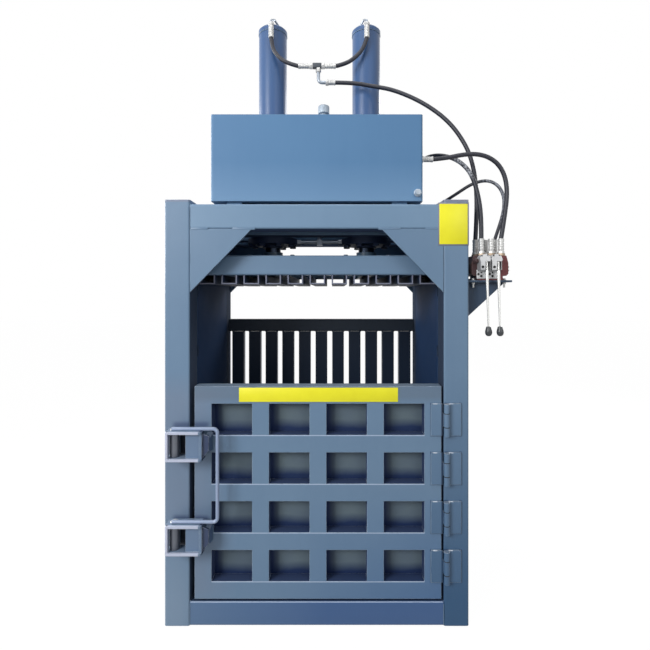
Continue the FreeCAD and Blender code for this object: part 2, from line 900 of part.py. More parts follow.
latch_x = -half_width + size("latch_inset")
latch_y = front - size("latch_standoff")


def makeLatch():
    """Two open clasps on one handle, turning on bosses welded to the left post."""
    plate = size("clasp_plate")
    left = -size("clasp_left")
    reach = size("clasp_reach")
    face = -size("clasp_front")
    back = size("clasp_back")
    height = size("clasp_height")
    web_face = -size("clasp_plate")
    pin = size("latch_pin")
    thin = size("latch_web")
    edge = size("clasp_round")
    bosses = []
    clasps = []
    keepers = []
    for name, low in (("upper", size("clasp_upper")), ("lower", size("clasp_lower"))):
        boss = newBody("latch_boss_" + name, latch_x, latch_y, low + plate + size("latch_end_gap"))
        tall = height - 2 * plate - 2 * size("latch_end_gap")
        ring = newSketch(boss, "XY")
        circle(ring, 0, 0, size("latch_boss"))
        pad(boss, ring, tall)
        web = newSketch(boss, "XY")
        rectangle(web, -thin / 2, thin / 2, size("latch_boss") / 2 - thin / 2, size("latch_standoff"))
        pad(boss, web, tall)
        hole = newSketch(boss, "XY")
        circle(hole, 0, 0, pin + 2 * size("running_clearance"))
        pocket(boss, hole)
        bosses.append(boss)
        clasp = newBody("latch_clasp_" + name, latch_x, latch_y, low)
        for level in (dim(0), height - plate):
            flat = newSketch(clasp, "XY", level)
            polygon(flat, [(left + edge, face), (reach - edge, face), (reach, face + edge),
                           (reach, back - edge), (reach - edge, back), (left + edge, back),
                           (left, back - edge), (left, face + edge)])
            pad(clasp, flat, plate)
        end = newSketch(clasp, "XY")
        rectangle(end, left, left + size("clasp_end"), face + edge, -edge)
        pad(clasp, end, height)
        web = newSketch(clasp, "XY")
        rectangle(web, reach - plate / 2 - size("clasp_web_width"), reach - plate / 2,
                  web_face - plate, web_face)
        pad(clasp, web, height)
        side = newSketch(clasp, "XY")
        rectangle(side, reach - plate, reach, face + edge, web_face)
        pad(clasp, side, height)
        claw = newSketch(clasp, "XZ", -web_face)
        polygon(claw, [(reach - plate, plate), (reach, plate), (reach + size("claw_reach"), height * 0.35),
                       (reach + size("claw_reach"), height - 2 * plate), (reach, height - plate),
                       (reach - plate, height - plate)])
        pad(clasp, claw, plate)
        shaft = newSketch(clasp, "XY")
        circle(shaft, 0, 0, pin)
        pad(clasp, shaft, height)
        clasps.append(clasp)
        keeper_x = latch_x + reach + size("claw_reach") - size("keeper_width")
        keeper = newBody("keeper_" + name, keeper_x, front, low + (height - size("keeper_height")) / 2)
        block = newSketch(keeper, "YZ")
        depth = size("latch_standoff") - web_face - size("keeper_clearance")
        polygon(block, [(0, 0), (0, size("keeper_height")), (-depth, size("keeper_height") * 0.85),
                        (-depth, size("keeper_height") * 0.15)])
        pad(keeper, block, size("keeper_width"))
        keepers.append(keeper)
    group("latch_bosses", bosses)
    group("latch_clasps", clasps)
    group("latch_keepers", keepers)


BAR_SIDES = 12         # flats round the handle bar


def barPath(points, radii):
    """Straight runs joined by tangent arcs, as one wire."""
    edges = []
    start = points[0]
    for i in range(1, len(points) - 1):
        corner = points[i]
        into = (corner - points[i - 1]).normalize()
        out = (points[i + 1] - corner).normalize()
        turn = into.getAngle(out)
        cut = radii[i - 1] * math.tan(turn / 2)
        first = corner - into * cut
        last = corner + out * cut
        bisector = (out - into).normalize()
        centre = corner + bisector * (radii[i - 1] / math.cos(turn / 2))
        middle = centre - bisector * radii[i - 1]
        edges.append(Part.LineSegment(start, first).toShape())
        edges.append(Part.Arc(first, middle, last).toShape())
        start = last
    edges.append(Part.LineSegment(start, points[-1]).toShape())
    return Part.Wire(edges)


def sectionArea(diameter, sides):
    return sides / 2 * (diameter / 2) ** 2 * math.sin(2 * math.pi / sides)


def tubeAlong(wire, diameter, sides):
    """A solid swept along the wire, with a number of flats round it."""
    start = wire.Edges[0]
    origin = start.valueAt(start.FirstParameter)
    direction = start.tangentAt(start.FirstParameter)
    corners = []
    for k in range(sides + 1):
        angle = 2 * math.pi * (k + 0.5) / sides
        corners.append(FreeCAD.Vector(diameter / 2 * math.cos(angle), diameter / 2 * math.sin(angle), 0))
    ring = Part.makePolygon(corners)
    ring.Placement = FreeCAD.Placement(origin, FreeCAD.Rotation(FreeCAD.Vector(0, 0, 1), direction))
    return wire.makePipeShell([ring], True, False)


def feature(label, shape):
    """A sub-part whose swept form has no matching feature."""
    thing = doc.addObject("Part::Feature", label)
    thing.Label = label
    thing.Shape = shape
    thing.Placement = FreeCAD.Placement()
    return node(thing)


def makeHandle():
    """A round bar bent into a C that joins the tops of both clasps."""
    radius = SIZES["handle_bar"] / 2
    y = latch_y.value - SIZES["handle_setback"]
    left = latch_x.value - SIZES["handle_overlap"]
    right = latch_x.value + SIZES["handle_reach"]
    top = SIZES["clasp_upper"] + SIZES["clasp_height"] + radius
    low = SIZES["clasp_lower"] + SIZES["clasp_height"] + radius
    points = [FreeCAD.Vector(left, y, top), FreeCAD.Vector(right, y, top),
              FreeCAD.Vector(right, y, low), FreeCAD.Vector(left, y, low)]
    bend = SIZES["handle_bend"]
    feature("latch_handle", tubeAlong(barPath(points, [bend, bend]), SIZES["handle_bar"], BAR_SIDES))


makeLatch()
makeHandle()


# ---- oil tank and power unit ----

tank_front = front + size("tank_front_gap")
tank_rear = tank_front + size("tank_depth")
tank_low = beam_top + size("tank_lift")
tank_top = tank_low + size("tank_height")


def makeTank():
    half = size("tank_width") / 2
    thin = size("tank_wall")
    body = newBody("oil_tank", 0, tank_front, tank_low)
    shell = newSketch(body, "XY")
    rounded(shell, -half, half, 0, size("tank_depth"), size("tank_round"))
    pad(body, shell, size("tank_height"))
    foot_width = size("foot_width")
    foot_depth = size("foot_depth")
    for x in (-half + foot_width, half - 2 * foot_width):
        for y in (size("foot_inset"), size("tank_depth") - size("foot_inset") - foot_depth):
            foot = newSketch(body, "XY")
            rectangle(foot, x, x + foot_width, y, y + foot_depth)
            pad(body, foot, size("tank_lift"), reverse=True)
    hollow = newSketch(body, "XY", size("tank_height") - thin)
    rounded(hollow, thin - half, half - thin, thin, size("tank_depth") - thin, size("tank_round") - thin)
    pocket(body, hollow, size("tank_height") - 2 * thin)
    node(body)
    cap = newBody("tank_breather", size("breather_x"), tank_front + size("breather_back"), tank_top)
    rim = size("breather_diameter") / 2
    neck = size("breather_neck") / 2
    flange = size("breather_flange") / 2
    seat = size("breather_seat")
    lift = size("breather_lift")
    tall = size("breather_height")
    bevel = size("breather_bevel")
    turned(cap, [(0, 0), (flange, 0), (flange, seat), (neck, seat), (neck, lift), (rim, lift),
                 (rim, tall - bevel), (rim - bevel, tall), (0, tall)])
    plug = newBody("tank_drain", half - size("drain_inset"), tank_front, tank_low + size("drain_height"),
                   ((1, 0, 0), 90))
    r = size("drain_diameter") / 2
    turned(plug, [(0, 0), (r, 0), (r, 8), (r * 0.8, 10), (r * 0.8, 20), (r * 0.6, 22), (0, 22)])
    group("tank_fittings", [cap, plug])


motor_axis = beam_top + size("motor_plate") + size("motor_axis_height")
motor_right = size("motor_left") + size("motor_length")
bell_right = motor_right + size("bell_length")


def makePowerUnit():
    """Foot-mounted motor, bell housing and gear pump in one line behind the tank."""
    along = ((0, 1, 0), 90)
    y = size("motor_y")
    shaft = size("motor_shaft") / 2
    fit = shaft + size("running_clearance")
    plate = newBody("motor_base", 0, 0, beam_top)
    sketch = newSketch(plate, "XY")
    rear_beam = barrel / 2 + size("barrel_clearance")
    rectangle(sketch, size("motor_left") - 20, motor_right + 20, rear_beam, half_depth)
    pad(plate, sketch, size("motor_plate"))
    node(plate)
    # housing: a turned shell with cooling fins and two bored end shields
    body = newBody("motor_housing", size("motor_left"), y, motor_axis, along)
    length = size("motor_length")
    rim = size("motor_diameter") / 2
    shield = size("motor_shield")
    skin = rim - size("motor_wall")
    turned(body, [(fit, 0), (rim, 0), (rim, length), (fit, length)])
    cavity = newSketch(body, "XZ")
    polygon(cavity, [(0, shield), (skin, shield), (skin, length - shield), (0, length - shield)])
    groove = body.newObject("PartDesign::Groove", "motor_cavity")
    groove.Profile = cavity
    groove.ReferenceAxis = (cavity, ["V_Axis"])
    groove.Angle = 360
    inset = size("motor_foot_inset")
    half_foot = size("motor_foot_width") / 2
    foot = newSketch(body, "XY", inset)
    rectangle(foot, rim * 0.8, size("motor_axis_height"), -half_foot, half_foot)
    pad(body, foot, length - 2 * inset)
    box_back = size("terminal_box_back")
    box_half = size("terminal_box_depth") / 2
    lift = size("terminal_saddle")
    saddle = newSketch(body, "XY", box_back + lift)
    rectangle(saddle, -rim - lift, -rim * 0.8, lift - box_half, box_half - lift)
    pad(body, saddle, size("terminal_box_width") - 2 * lift)
    node(body)
    cowl = newBody("fan_cowl", size("motor_left"), y, motor_axis, along)
    thin = size("cowl_wall")
    deep = size("cowl_length")
    turned(cowl, [(rim - thin, 0), (rim, 0), (rim, -deep), (22, -deep), (22, thin - deep),
                  (rim - thin, thin - deep)])
    rotor = newBody("motor_rotor", size("motor_left"), y, motor_axis, along)
    long = size("bell_length")
    tail = size("fan_gap") - deep
    fan_start = tail + size("fan_collar")
    fan_end = -size("fan_end_gap")
    fan = shaft + size("fan_rise")
    core = rim - size("core_gap")
    core_start = size("core_inset")
    core_end = length - core_start
    joint_start = length + size("coupling_gap")
    joint_end = joint_start + size("coupling_length")
    joint = shaft + size("coupling_rise")
    nose = shaft - size("pump_shaft_step")
    depth = size("pump_bore")
    tip = length + long + depth - size("pump_shaft_gap")
    turned(rotor, [(0, tail), (shaft, tail), (shaft, fan_start), (fan, fan_start), (fan, fan_end),
                   (shaft, fan_end), (shaft, core_start), (core, core_start), (core, core_end),
                   (shaft, core_end), (shaft, joint_start), (joint, joint_start), (joint, joint_end),
                   (nose, joint_end), (nose, tip), (0, tip)])
    blade = newSketch(rotor, "YZ")
    blade_root = fan - size("blade_sink")
    blade_tip = rim - size("blade_tip_gap")
    blade_start = fan_start + size("blade_inset")
    blade_end = fan_end - size("blade_inset")
    polygon(blade, [(blade_root, blade_start), (blade_tip, blade_start), (blade_tip, blade_end),
                    (blade_root, blade_end)])
    fin = pad(rotor, blade, size("blade_plate"), middle=True)
    spin = rotor.newObject("PartDesign::PolarPattern", "fan_blades")
    spin.Originals = [fin]
    for origin_axis in rotor.Origin.OriginFeatures:
        if origin_axis.Role == "Z_Axis":
            spin.Axis = (origin_axis, [""])
    spin.Angle = 360
    spin.Occurrences = int(SIZES["blade_count"])
    rotor.Tip = spin
    node(rotor)
    bell = newBody("bell_housing", motor_right, y, motor_axis, along)
    wide = size("bell_diameter") / 2
    thick = size("bell_wall")
    flange = wide + size("bell_rim")
    body_r = size("pump_diameter") / 2
    narrow = body_r + size("bell_step")
    pump_fit = nose + size("running_clearance")
    turned(bell, [(wide - thick, 0), (flange, 0), (flange, thick), (wide, thick), (narrow, long),
                  (pump_fit, long), (pump_fit, long - thick), (narrow - thick, long - thick)])
    node(bell)
    pump = newBody("hydraulic_pump", bell_right, y, motor_axis, along)
    reach = size("pump_length")
    band = size("pump_band")
    waist = body_r - size("pump_waist")
    slope = size("pump_waist") / 2
    turned(pump, [(pump_fit, 0), (body_r, 0), (body_r, band), (waist, band + slope),
                  (waist, reach - band - slope), (body_r, reach - band), (body_r, reach), (0, reach),
                  (0, depth), (pump_fit, depth)])
    node(pump)
    box = newBody("terminal_box", size("motor_left") + box_back, y, motor_axis + rim + lift)
    lid = newSketch(box, "XY")
    rectangle(lid, 0, size("terminal_box_width"), -box_half, box_half)
    pad(box, lid, size("terminal_box_height"))
    group("motor_covers", [cowl, box])


makeTank()
makePowerUnit()


# ---- control valve on the right post ----

shelf_y = -size("shelf_front")
valve_left = half_width + size("valve_inset")
valve_y = shelf_y
valve_top = size("shelf_height") + size("valve_height")
pivot_y = valve_y - size("pivot_standoff")
pivot_z = size("shelf_height") + size("lever_pivot_rise")


def makeValve():
    bracket = newBody("valve_bracket", half_width, shelf_y, size("shelf_height"))
    flat = newSketch(bracket, "XY")
    rectangle(flat, 0, size("shelf_reach"), 0, size("shelf_depth"))
    pad(bracket, flat, size("shelf_plate"), reverse=True)
    rib = newSketch(bracket, "XZ", -size("shelf_gusset_back"))
    polygon(rib, [(0, -size("shelf_plate")), (size("shelf_gusset_reach"), -size("shelf_plate")),
                  (0, -size("shelf_gusset_drop"))])
    pad(bracket, rib, size("shelf_plate"), reverse=True)
    node(bracket)
    body = newBody("valve_block", valve_left, valve_y, size("shelf_height"))
    wide = size("valve_width")
    tall = size("valve_height")
    deep = size("valve_depth")
    outline = newSketch(body, "XZ")
    waist = size("valve_waist")
    foot = size("valve_foot_inset")
    low = tall * 0.26
    high = tall * 0.7
    polygon(outline, [(foot, 0), (wide - foot, 0), (wide - foot, low - waist), (wide - waist, low - waist),
                      (wide, low), (wide, high), (wide - waist, tall), (waist, tall), (0, high), (0, low),
                      (waist, low - waist), (foot, low - waist)])
    pad(body, outline, deep, reverse=True)
    for n in range(2):
        hole = newSketch(body, "XZ")
        circle(hole, size("lever_inset") + size("lever_pitch") * n,
               size("lever_pivot_rise") - size("lever_arm"),
               size("spool_diameter") + 2 * size("running_clearance"))
        pocket(body, hole)
    node(body)


def makeLevers():
    """Each lever turns on a cross pin in its clevis and pushes its own spool."""
    boxes = []
    for n, side in enumerate(("left", "right")):
        x = valve_left + size("lever_inset") + size("lever_pitch") * n
        z = pivot_z
        half = size("pivot_box_width") / 2
        pin = size("lever_pivot_pin")
        clevis = newBody("lever_clevis_" + side, x, pivot_y, z)
        cheek_plate = size("pivot_cheek")
        back = size("pivot_standoff")
        low = -size("pivot_box_height") * 0.7
        high = size("pivot_box_height") * 0.35
        nose = pin * 1.25
        for start in (-half, half - cheek_plate):
            cheek = newSketch(clevis, "YZ", start)
            polygon(cheek, [(back, low), (back, high), (nose / 2, high), (-nose, nose), (-nose, -nose),
                            (0, low)])
            pad(clevis, cheek, cheek_plate)
        cross = newSketch(clevis, "YZ", -half)
        circle(cross, 0, 0, pin)
        pad(clevis, cross, half * 2)
        boxes.append(clevis)
        rod = size("lever_rod") / 2
        hub = half - cheek_plate - size("pivot_side_gap")
        lever = newBody("lever_hub_" + side, x, pivot_y, z)
        eye = newSketch(lever, "YZ", -hub)
        circle(eye, 0, 0, pin + 10)
        circle(eye, 0, 0, pin + 2 * size("running_clearance"))
        pad(lever, eye, hub * 2)
        bar = newBody("lever_rod_" + side, x, pivot_y, z, ((0, 1, 0), 180 - SIZES["lever_lean"]))
        start = pin / 2 + 3
        turned(bar, [(0, start), (rod, start), (rod, size("lever_length")), (0, size("lever_length"))])
        merged = doc.addObject("Part::MultiFuse", "lever_bar_" + side)
        merged.Shapes = [lever, bar]
        knob = newBody("lever_knob_" + side, x, pivot_y, z, ((0, 1, 0), 180 - SIZES["lever_lean"]))
        low = size("lever_length")
        r = size("knob_diameter") / 2
        tall = size("knob_height")
        turned(knob, [(0, low), (r * 0.55, low), (r, low + tall * 0.45), (r, low + tall * 0.7),
                      (r * 0.5, low + tall), (0, low + tall)])
        group("lever_" + side, [merged, knob])
        spool = newBody("spool_" + side, x, valve_y, z - size("lever_arm"), ((1, 0, 0), -90))
        nose = back - size("lever_rod") / 2 - size("lever_gap")
        neck = nose - size("spool_tip_length")
        s = size("spool_diameter") / 2
        tip = size("spool_tip_diameter") / 2
        far = size("valve_depth") + size("spool_stroke_room")
        turned(spool, [(0, -nose), (tip, -nose), (tip, -neck), (s, -neck), (s, far), (0, far)])
        node(spool)
    group("lever_clevises", boxes)


makeValve()
makeLevers()


# ---- hydraulic fittings and hoses ----

def port(column, row):
    """Where a union stands on the valve: columns run from the left, rows from the front."""
    x = valve_left + size("port_inset_" + row) + size("port_pitch") * column
    y = valve_y + size("port_row_" + row)
    return (x.value, y.value)


PORTS = {
    "pump": port(0, "front"),
    "spare_front": port(1, "front"),
    "tank": port(2, "front"),
    "cap": port(0, "back"),
    "spare_back": port(1, "back"),
    "rod": port(2, "back"),
}
HOSE_SIDES = 8         # flats round a hose
SLEEVE_SIDES = 12      # flats round a crimped end
port_seat = valve_top + size("hex_height")
hose_low = (port_seat + size("ferrule_length")).value
cap_x = (cylinder_x - size("cap_hose_inset")).value
cap_y = -(barrel / 2 + size("cap_tube_gap")).value
cap_z = (size("barrel_top") - size("cap_hose_drop")).value
tee_y = -(barrel / 2 + size("tee_gap")).value
tee_z = (size("barrel_top") - size("tee_drop")).value
tee_reach = SIZES["tee_width"] / 2 + SIZES["tee_sleeve"]
tee = (SIZES["tee_x"], tee_y, tee_z)
tee_left = (SIZES["tee_x"] - tee_reach, tee_y, tee_z)
tee_right = (SIZES["tee_x"] + tee_reach, tee_y, tee_z)
elbow_x = SIZES["tee_x"] + SIZES["elbow_inset"]
elbow_end = (elbow_x + SIZES["elbow_run"], tee_y, tee_z - SIZES["elbow_drop"])
cap_side_start = (elbow_end[0] + SIZES["elbow_sleeve"], tee_y, elbow_end[2])
return_port = ((size("tank_width") / 2 + size("union_nut") + size("union_sleeve")).value,
               (tank_front + size("return_port_back")).value,
               (tank_low + size("return_port_height")).value)
pump_end = (bell_right + size("pump_length")).value
pump_port = (pump_end + SIZES["union_nut"] + SIZES["union_sleeve"], SIZES["motor_y"], motor_axis.value)
link_z = (gland_bottom + size("gland_thickness") / 2).value
link_port = (0, 0, link_z + SIZES["link_tee"] / 2 + SIZES["union_sleeve"])

HOSES = {  # centre lines from fitting to fitting, chosen by hand
    "hose_top_left": (SIZES["hose_diameter"], [
        (-cap_x, cap_y, cap_z), (-212, -86, 2426), (-189, -88, 2386), (-146, -90, 2352), tee_left]),
    "hose_top_right": (SIZES["hose_diameter"], [
        tee_right, (124, -90, 2350), (168, -88, 2382), (204, -86, 2424), (cap_x, cap_y, cap_z)]),
    "hose_cap_side": (SIZES["hose_diameter"], [
        cap_side_start, (150, -102, 2258), (241, -112, 2238), (335, -128, 2214), (458, -155, 2147),
        (563, -185, 2054), (629, -210, 1944), (655, -230, 1848), (664, -244, 1738), (661, -254, 1632),
        (*PORTS["cap"], hose_low)]),
    "hose_pump": (SIZES["hose_diameter"], [
        pump_port, (205, 199, 1800), (290, 180, 1835), (370, 125, 1880), (430, 40, 1910),
        (466, -60, 1922), (506, -150, 1918), (558, -205, 1895), (606, -235, 1858), (640, -262, 1800),
        (658, -286, 1710), (666, -298, 1620), (*PORTS["pump"], hose_low)]),
    "hose_return": (SIZES["hose_diameter"], [
        return_port, (528, -290, 1862), (585, -296, 1873), (640, -298, 1877), (692, -298, 1866),
        (736, -297, 1836), (764, -296, 1785), (772, -297, 1716), (760, -299, 1622),
        (*PORTS["tank"], hose_low)]),
    "hose_rod_side": (SIZES["thin_hose_diameter"], [
        link_port, (4, 10, 1655), (32, 38, 1706), (90, 74, 1726), (170, 98, 1722), (280, 104, 1702),
        (390, 64, 1688), (480, -10, 1692), (552, -80, 1716), (612, -130, 1752), (668, -168, 1788),
        (722, -200, 1796), (762, -226, 1768), (780, -244, 1714), (774, -253, 1652), (755, -256, 1590),
        (*PORTS["rod"], hose_low)]),
}


def vec(point):
    return FreeCAD.Vector(*point)


def hoseRadii(points):
    """Each bend as wide as its two runs allow."""
    radii = []
    for i in range(1, len(points) - 1):
        into = points[i] - points[i - 1]
        out = points[i + 1] - points[i]
        turn = into.getAngle(out)
        radii.append(0.45 * min(into.Length, out.Length) / math.tan(turn / 2))
    return radii


def makeHoses():
    for label, (diameter, route) in HOSES.items():
        points = [vec(point) for point in route]
        radii = hoseRadii(points)
        wire = barPath(points, radii)
        solid = tubeAlong(wire, diameter, HOSE_SIDES)
        ideal = sectionArea(diameter, HOSE_SIDES) * wire.Length
        print("%s length %.0f least radius %.0f volume ratio %.4f" % (
            label, wire.Length, min(radii), solid.Volume / ideal))
        feature(label, solid)


def prism(start, end, across, sides):
    """A straight bar of regular section between two points, measured over its corners."""
    start = vec(start)
    run = vec(end) - start
    corners = []
    for k in range(sides + 1):
        angle = 2 * math.pi * k / sides
        corners.append(FreeCAD.Vector(across / 2 * math.cos(angle), across / 2 * math.sin(angle), 0))
    bar = Part.Face(Part.makePolygon(corners)).extrude(FreeCAD.Vector(0, 0, run.Length))
    bar.Placement = FreeCAD.Placement(start, FreeCAD.Rotation(FreeCAD.Vector(0, 0, 1), run))
    return bar


def sleeve(start, end, diameter):
    """A crimped end or a straight pipe between two points."""
    return prism(start, end, diameter, SLEEVE_SIDES)


def hexNut(start, end, across):
    return prism(start, end, across, 6)


def union(start, end):
    """A nut against a housing at start, then a crimped sleeve that ends where the hose begins."""
    step = (vec(end) - vec(start)).normalize() * SIZES["union_nut"]
    middle = vec(start) + step
    return hexNut(start, middle, SIZES["hex_nut"]).fuse(sleeve(middle, end, SIZES["ferrule_diameter"]))


def bentTube(points, bend, diameter):
    points = [vec(point) for point in points]
    return tubeAlong(barPath(points, [bend] * (len(points) - 2)), diameter, HOSE_SIDES)


def makeValveFittings():
    """One union on each port of the valve."""
    unions = []
    for x, y in PORTS.values():
        body = hexNut((x, y, valve_top.value), (x, y, port_seat.value), SIZES["hex_nut"])
        unions.append(body.fuse(sleeve((x, y, port_seat.value), (x, y, hose_low), SIZES["ferrule_diameter"])))
    feature("valve_fittings", Part.makeCompound(unions))


def makePowerFittings():
    """Return union on the tank's side, pressure union on the pump's end, suction pipe between the two."""
    x, y, z = return_port
    tank_union = union((SIZES["tank_width"] / 2, y, z), return_port)
    x, y, z = pump_port
    pump_union = union((pump_end, y, z), pump_port)
    middle = pump_end - SIZES["pump_length"] / 2
    side = y - SIZES["pump_diameter"] / 2 + 4
    suction = sleeve((middle, tank_rear.value, z), (middle, side, z), SIZES["suction_diameter"])
    feature("power_unit_fittings", Part.makeCompound([tank_union, pump_union, suction]))


def makeCapFittings():
    """Steel tubes over the two cylinder caps, and the tee that joins their hoses."""
    steel = SIZES["steel_tube"]
    crimp = SIZES["ferrule_diameter"]
    bend = SIZES["steel_tube_bend"]
    top = SIZES["barrel_top"]
    loop = top + SIZES["cap_tube_rise"]
    root = (cylinder_x - size("cap_tube_inset")).value
    back = -SIZES["cap_tube_back"]
    pieces = []
    for sign in (-1, 1):
        x = cap_x * sign
        nut_low = cap_z + SIZES["union_sleeve"]
        nut_high = nut_low + SIZES["union_nut"]
        tube = bentTube([(root * sign, back, top), (root * sign, back, loop), (x, cap_y, loop),
                         (x, cap_y, nut_high)], bend, steel)
        nut = hexNut((x, cap_y, nut_low), (x, cap_y, nut_high), SIZES["hex_nut"])
        pieces.append(tube.fuse(nut).fuse(sleeve((x, cap_y, cap_z), (x, cap_y, nut_low), crimp)))
    side = SIZES["tee_side"] / 2
    half = SIZES["tee_width"] / 2
    x, y, z = tee
    block = Part.makeBox(2 * half, 2 * side, 2 * side, FreeCAD.Vector(x - half, y - side, z - side))
    block = block.fuse(sleeve((x - half, y, z), tee_left, crimp))
    block = block.fuse(sleeve((x + half, y, z), tee_right, crimp))
    drop = bentTube([(elbow_x, y, z - side), (elbow_x, y, elbow_end[2]), elbow_end], bend, steel)
    pieces.append(block.fuse(drop).fuse(sleeve(elbow_end, cap_side_start, crimp)))
    feature("cap_fittings", Part.makeCompound(pieces))


def makeLink():
    """A steel pipe between the two gland flanges, with a union standing on its tee."""
    reach = (cylinder_x - size("gland_diameter") / 2).value
    seat = reach - SIZES["link_end_gap"]
    link = sleeve((-reach, 0, link_z), (reach, 0, link_z), SIZES["steel_tube"])
    for sign in (-1, 1):
        link = link.fuse(hexNut((sign * (reach - SIZES["link_nut"]), 0, link_z), (sign * seat, 0, link_z),
                                SIZES["hex_nut"]))
    tall = SIZES["link_tee"]
    link = link.fuse(Part.makeBox(tall, tall, tall, FreeCAD.Vector(-tall / 2, -tall / 2, link_z - tall / 2)))
    link = link.fuse(sleeve((0, 0, link_z + tall / 2), link_port, SIZES["ferrule_diameter"]))
    feature("rod_side_link", link)


makeHoses()
makeValveFittings()
makePowerFittings()
makeCapFittings()
makeLink()


# ---- check and write ----

doc.recompute()
for thing in doc.Objects:
    if "Invalid" in thing.State or "Error" in thing.State:
        raise RuntimeError("%s did not build: %s" % (thing.Label, thing.State))
os.makedirs("parts", exist_ok=True)
for thing in nodes:
    shape = thing.Shape
    if shape.isNull() or not shape.isValid():
        raise RuntimeError("%s has no valid shape" % thing.Label)
    shape.exportStep("parts/%s.step" % thing.Label)
print("%d sub-parts written" % len(nodes))
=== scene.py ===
import bpy
import json
import math
from mathutils import Matrix, Vector


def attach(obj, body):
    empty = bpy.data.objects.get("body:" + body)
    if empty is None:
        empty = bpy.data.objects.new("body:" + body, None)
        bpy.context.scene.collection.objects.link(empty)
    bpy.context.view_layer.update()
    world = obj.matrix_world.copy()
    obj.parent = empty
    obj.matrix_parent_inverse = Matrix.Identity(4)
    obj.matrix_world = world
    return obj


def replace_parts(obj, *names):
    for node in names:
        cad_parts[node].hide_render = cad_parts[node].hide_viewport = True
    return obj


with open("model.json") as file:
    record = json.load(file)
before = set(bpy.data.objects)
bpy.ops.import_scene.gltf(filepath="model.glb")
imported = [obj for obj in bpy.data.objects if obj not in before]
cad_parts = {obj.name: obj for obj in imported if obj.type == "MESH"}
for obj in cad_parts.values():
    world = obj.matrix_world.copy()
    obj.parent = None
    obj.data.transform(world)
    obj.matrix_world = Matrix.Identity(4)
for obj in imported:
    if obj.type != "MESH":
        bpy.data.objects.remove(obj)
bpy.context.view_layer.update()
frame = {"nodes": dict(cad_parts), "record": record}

nodes = frame["nodes"]
up, front, right = (0, 0, 1), (0, -1, 0), (1, 0, 0)

# places that several pieces share
cylinderLines = (-0.22, 0.22)
latchFeet = (0.673, 0.318)
barEdges = [n * 0.09 + edge for n in range(-5, 6) for edge in (-0.0315, 0.0315)]
windows = {"left": -0.4146, "foot": 0.1752, "across": 0.2264, "pitch": 0.1922, "rows": 4}
windowFeet = [windows["foot"] + windows["pitch"] * row for row in range(windows["rows"])]


# small helpers for picking, shaping and placing

def clearSelection():
    for thing in bpy.context.selected_objects:
        thing.select_set(False)


def link(thing):
    bpy.context.scene.collection.objects.link(thing)
    return thing


def mode(name):
    bpy.ops.object.mode_set(mode=name)


def smooth(degrees):
    bpy.ops.object.shade_smooth_by_angle(angle=math.radians(degrees))


def pick(thing):
    clearSelection()
    thing.select_set(True)
    bpy.context.view_layer.objects.active = thing


def settled():
    # the primitive just added, with its place and size put into its mesh
    piece = bpy.context.active_object
    pick(piece)
    bpy.ops.object.transform_apply(location=True, rotation=True, scale=True)
    return piece


def applyAll(thing):
    pick(thing)
    for modifier in list(thing.modifiers):
        bpy.ops.object.modifier_apply(modifier=modifier.name)


def softenEdges(thing, width, segments=2, angle=35):
    bevel = thing.modifiers.new("edges", "BEVEL")
    bevel.width = width
    bevel.segments = segments
    bevel.limit_method = "ANGLE"
    bevel.angle_limit = math.radians(angle)
    applyAll(thing)
    smooth(30)


def boxBetween(low, high, edge=0.002, segments=2):
    size = [b - a for a, b in zip(low, high)]
    middle = [(a + b) / 2 for a, b in zip(low, high)]
    clearSelection()
    bpy.ops.mesh.primitive_cube_add(size=1, location=middle, scale=size)
    box = settled()
    softenEdges(box, edge, segments)
    return box


def aim(thing, start, direction):
    turn = Vector(up).rotation_difference(Vector(direction))
    thing.data.transform(Matrix.Translation(Vector(start)) @ turn.to_matrix().to_4x4())
    return thing


def turnedPiece(profile, start, direction=up, sides=32):
    # a round piece from (radius, height) steps, as on a lathe
    radius, height = profile[0]
    clearSelection()
    bpy.ops.mesh.primitive_circle_add(vertices=sides, radius=radius, fill_type="NGON", location=(0, 0, height))
    piece = settled()
    mode("EDIT")
    bpy.ops.mesh.select_all(action="SELECT")
    for nextRadius, nextHeight in profile[1:]:
        bpy.ops.mesh.extrude_region_move(TRANSFORM_OT_translate={"value": (0, 0, nextHeight - height)})
        ratio = nextRadius / radius
        if abs(ratio - 1) > 1e-6:
            bpy.ops.transform.resize(value=(ratio, ratio, 1), center_override=(0, 0, nextHeight))
        radius, height = nextRadius, nextHeight
    bpy.ops.mesh.select_all(action="SELECT")
    bpy.ops.mesh.normals_make_consistent(inside=False)
    mode("OBJECT")
    smooth(32)
    return aim(piece, start, direction)


def hexPiece(across, length, start, direction=up, edge=0.001):
    clearSelection()
    bpy.ops.mesh.primitive_cylinder_add(vertices=6, radius=across / 2, depth=length, location=(0, 0, length / 2))
    nut = settled()
    softenEdges(nut, edge)
    return aim(nut, start, direction)


def joined(pieces):
    clearSelection()
    for piece in pieces:
        piece.select_set(True)
    bpy.context.view_layer.objects.active = pieces[0]
    if len(pieces) > 1:
        bpy.ops.object.join()
    return pieces[0]


def dress(name, pieces, body, slotName, material=None):
    # makes one piece of the parts, with its material and body; the slot's finish is the material unless another is
    # given
    piece = joined(pieces)
    piece.name = piece.data.name = name
    piece.data.materials.clear()
    piece.data.materials.append(material or finishes[slotName])
    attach(piece, body)
    return piece


# camera, at the height and distance the photograph was taken from

camera = {
    "place": (0.068, -2.1, 1.31),
    "lens": 24.6,
    "sensor": 36.0,
    "shift": (-0.0138, -0.0485),
}


def addCamera(spec):
    data = bpy.data.cameras.new("pressCamera")
    data.lens = spec["lens"]
    data.sensor_width = spec["sensor"]
    data.shift_x, data.shift_y = spec["shift"]
    data.clip_end = 60
    view = bpy.data.objects.new("pressCamera", data)
    view.location = spec["place"]
    view.rotation_euler = (math.radians(90), 0, 0)
    bpy.context.scene.camera = link(view)


